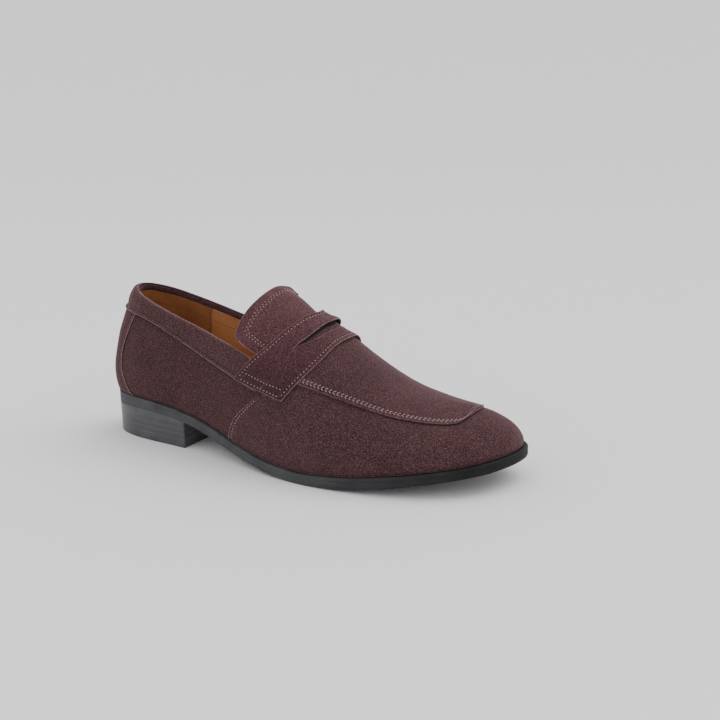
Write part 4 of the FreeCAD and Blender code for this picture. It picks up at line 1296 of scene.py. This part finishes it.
def camera():
    azimuth, elevation, roll = math.radians(AZIMUTH), math.radians(ELEVATION), math.radians(ROLL)
    back = np.array([math.sin(azimuth) * math.cos(elevation), -math.cos(azimuth) * math.cos(elevation),
                     math.sin(elevation)])
    right = np.array([math.cos(azimuth), math.sin(azimuth), 0.0])
    up = np.cross(back, right)
    side = math.cos(roll) * right + math.sin(roll) * up
    top = -math.sin(roll) * right + math.cos(roll) * up
    data = bpy.data.cameras.new("camera")
    data.sensor_width = SENSOR
    data.lens = LENS
    data.clip_start = 0.02
    obj = bpy.data.objects.new("camera", data)
    turn = Matrix([[side[k], top[k], back[k]] for k in range(3)]).to_4x4()
    obj.matrix_world = Matrix.Translation(Vector((np.array(CAMERA_AIM) + back * CAMERA_AWAY) * MM)) @ turn
    bpy.context.scene.collection.objects.link(obj)
    bpy.context.scene.camera = obj


def area_light(name, place, aim, width, height, power):
    data = bpy.data.lights.new(name, "AREA")
    data.shape = "RECTANGLE"
    data.size, data.size_y = width, height
    data.energy = power
    obj = bpy.data.objects.new(name, data)
    way = Vector(aim) - Vector(place)
    obj.matrix_world = Matrix.Translation(Vector(place)) @ way.to_track_quat("-Z", "Y").to_matrix().to_4x4()
    bpy.context.scene.collection.objects.link(obj)


def sun(name, way, angle, strength, colour=(1.0, 1.0, 1.0)):
    """A distant soft light, so that the floor is lit evenly."""
    data = bpy.data.lights.new(name, "SUN")
    data.angle = math.radians(angle)
    data.energy = strength
    data.color = colour
    obj = bpy.data.objects.new(name, data)
    obj.matrix_world = Vector(way).to_track_quat("Z", "Y").to_matrix().to_4x4()
    bpy.context.scene.collection.objects.link(obj)


COVE_START, COVE_RADIUS, COVE_HIGH = 1.6, 2.2, 6.0     # metres
COVE_HALF_WIDE, COVE_NEAR = 7.0, -5.0
TONE_RISE = 1.6                                        # height at which the paper reaches the wall's lighter tone, painted light
FLOOR_TONE = (0.88, 0.875, 0.875)
WALL_TONE = (0.97, 0.965, 0.965)


def cove():
    """A pale paper sweep: level under the shoe, then curving up behind it."""
    azimuth = math.radians(AZIMUTH)
    away = np.array([-math.sin(azimuth), math.cos(azimuth)])
    across = np.array([math.cos(azimuth), math.sin(azimuth)])
    turn = np.linspace(0, math.pi / 2, 40)
    reach = np.concatenate([[COVE_NEAR, 0.0], COVE_START + COVE_RADIUS * np.sin(turn), [COVE_START + COVE_RADIUS]])
    height = np.concatenate([[0.0, 0.0], COVE_RADIUS * (1 - np.cos(turn)), [COVE_HIGH]])
    rows = [[(*(away * r + across * w), z) for w in (-COVE_HALF_WIDE, COVE_HALF_WIDE)]
            for r, z in zip(reach, height)]
    mesh = bpy.data.meshes.new("floor")
    faces = [[int(i) for i in f] for f in quads(len(rows), 2)]
    mesh.from_pydata([v for row in rows for v in row], [], faces)
    mesh.polygons.foreach_set("use_smooth", np.ones(len(mesh.polygons), dtype=bool))
    m = Nodes("pale_paper")
    # painted light: the one paper grows lighter up the wall than on the floor
    tone = m.ramp(m.reach("Z", 0.0, TONE_RISE), [(0.0, FLOOR_TONE), (1.0, WALL_TONE)])
    grain = m.ramp(m.noise(4.0, 2.0), [(0.3, (0.495, 0.495, 0.495)), (0.7, (0.505, 0.505, 0.505))])
    colour = m.mix(1.0, tone, grain, "OVERLAY")
    mesh.materials.append(m.finish(colour, 0.8, m.bump(m.noise(900.0), 0.04, 0.0003), Specular_IOR_Level=0.2))
    floor = bpy.data.objects.new("floor", mesh)
    bpy.context.scene.collection.objects.link(floor)


def studio():
    world = bpy.data.worlds.new("studio")
    world.use_nodes = True
    world.node_tree.nodes["Background"].inputs["Color"].default_value = (0.97, 0.98, 1.0, 1.0)
    world.node_tree.nodes["Background"].inputs["Strength"].default_value = 1.12
    bpy.context.scene.world = world
    cove()
    sun("key", (0.4, 0.55, 1.0), 50.0, 1.5, (1.0, 0.985, 0.975))
    sun("left_fill", (-0.8, -0.55, 0.55), 45.0, 0.12)
    area_light("front", (0.35, -1.1, 0.8), (0.12, 0.0, 0.03), 0.9, 0.6, 0.4)


def inner_finishes():
    """Materials for the CAD pieces that stay: they are inside the shoe."""
    finishes = {"cork_filler": CORK, "footbed_foam": FOAM, "insole_board": BOARD, "heel_counter": BOARD,
                "toe_puff": BOARD, "shank": STEEL, "heel_nails": STEEL}
    for node, material in finishes.items():
        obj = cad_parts[node]
        for slot in obj.material_slots:
            slot.material = material


camera()
studio()
inner_finishes()
vamp()
apron()
quarters()
foxing()
collar()
linings()
strap()
tongue()
welt()
outsole()
heel()
sock()
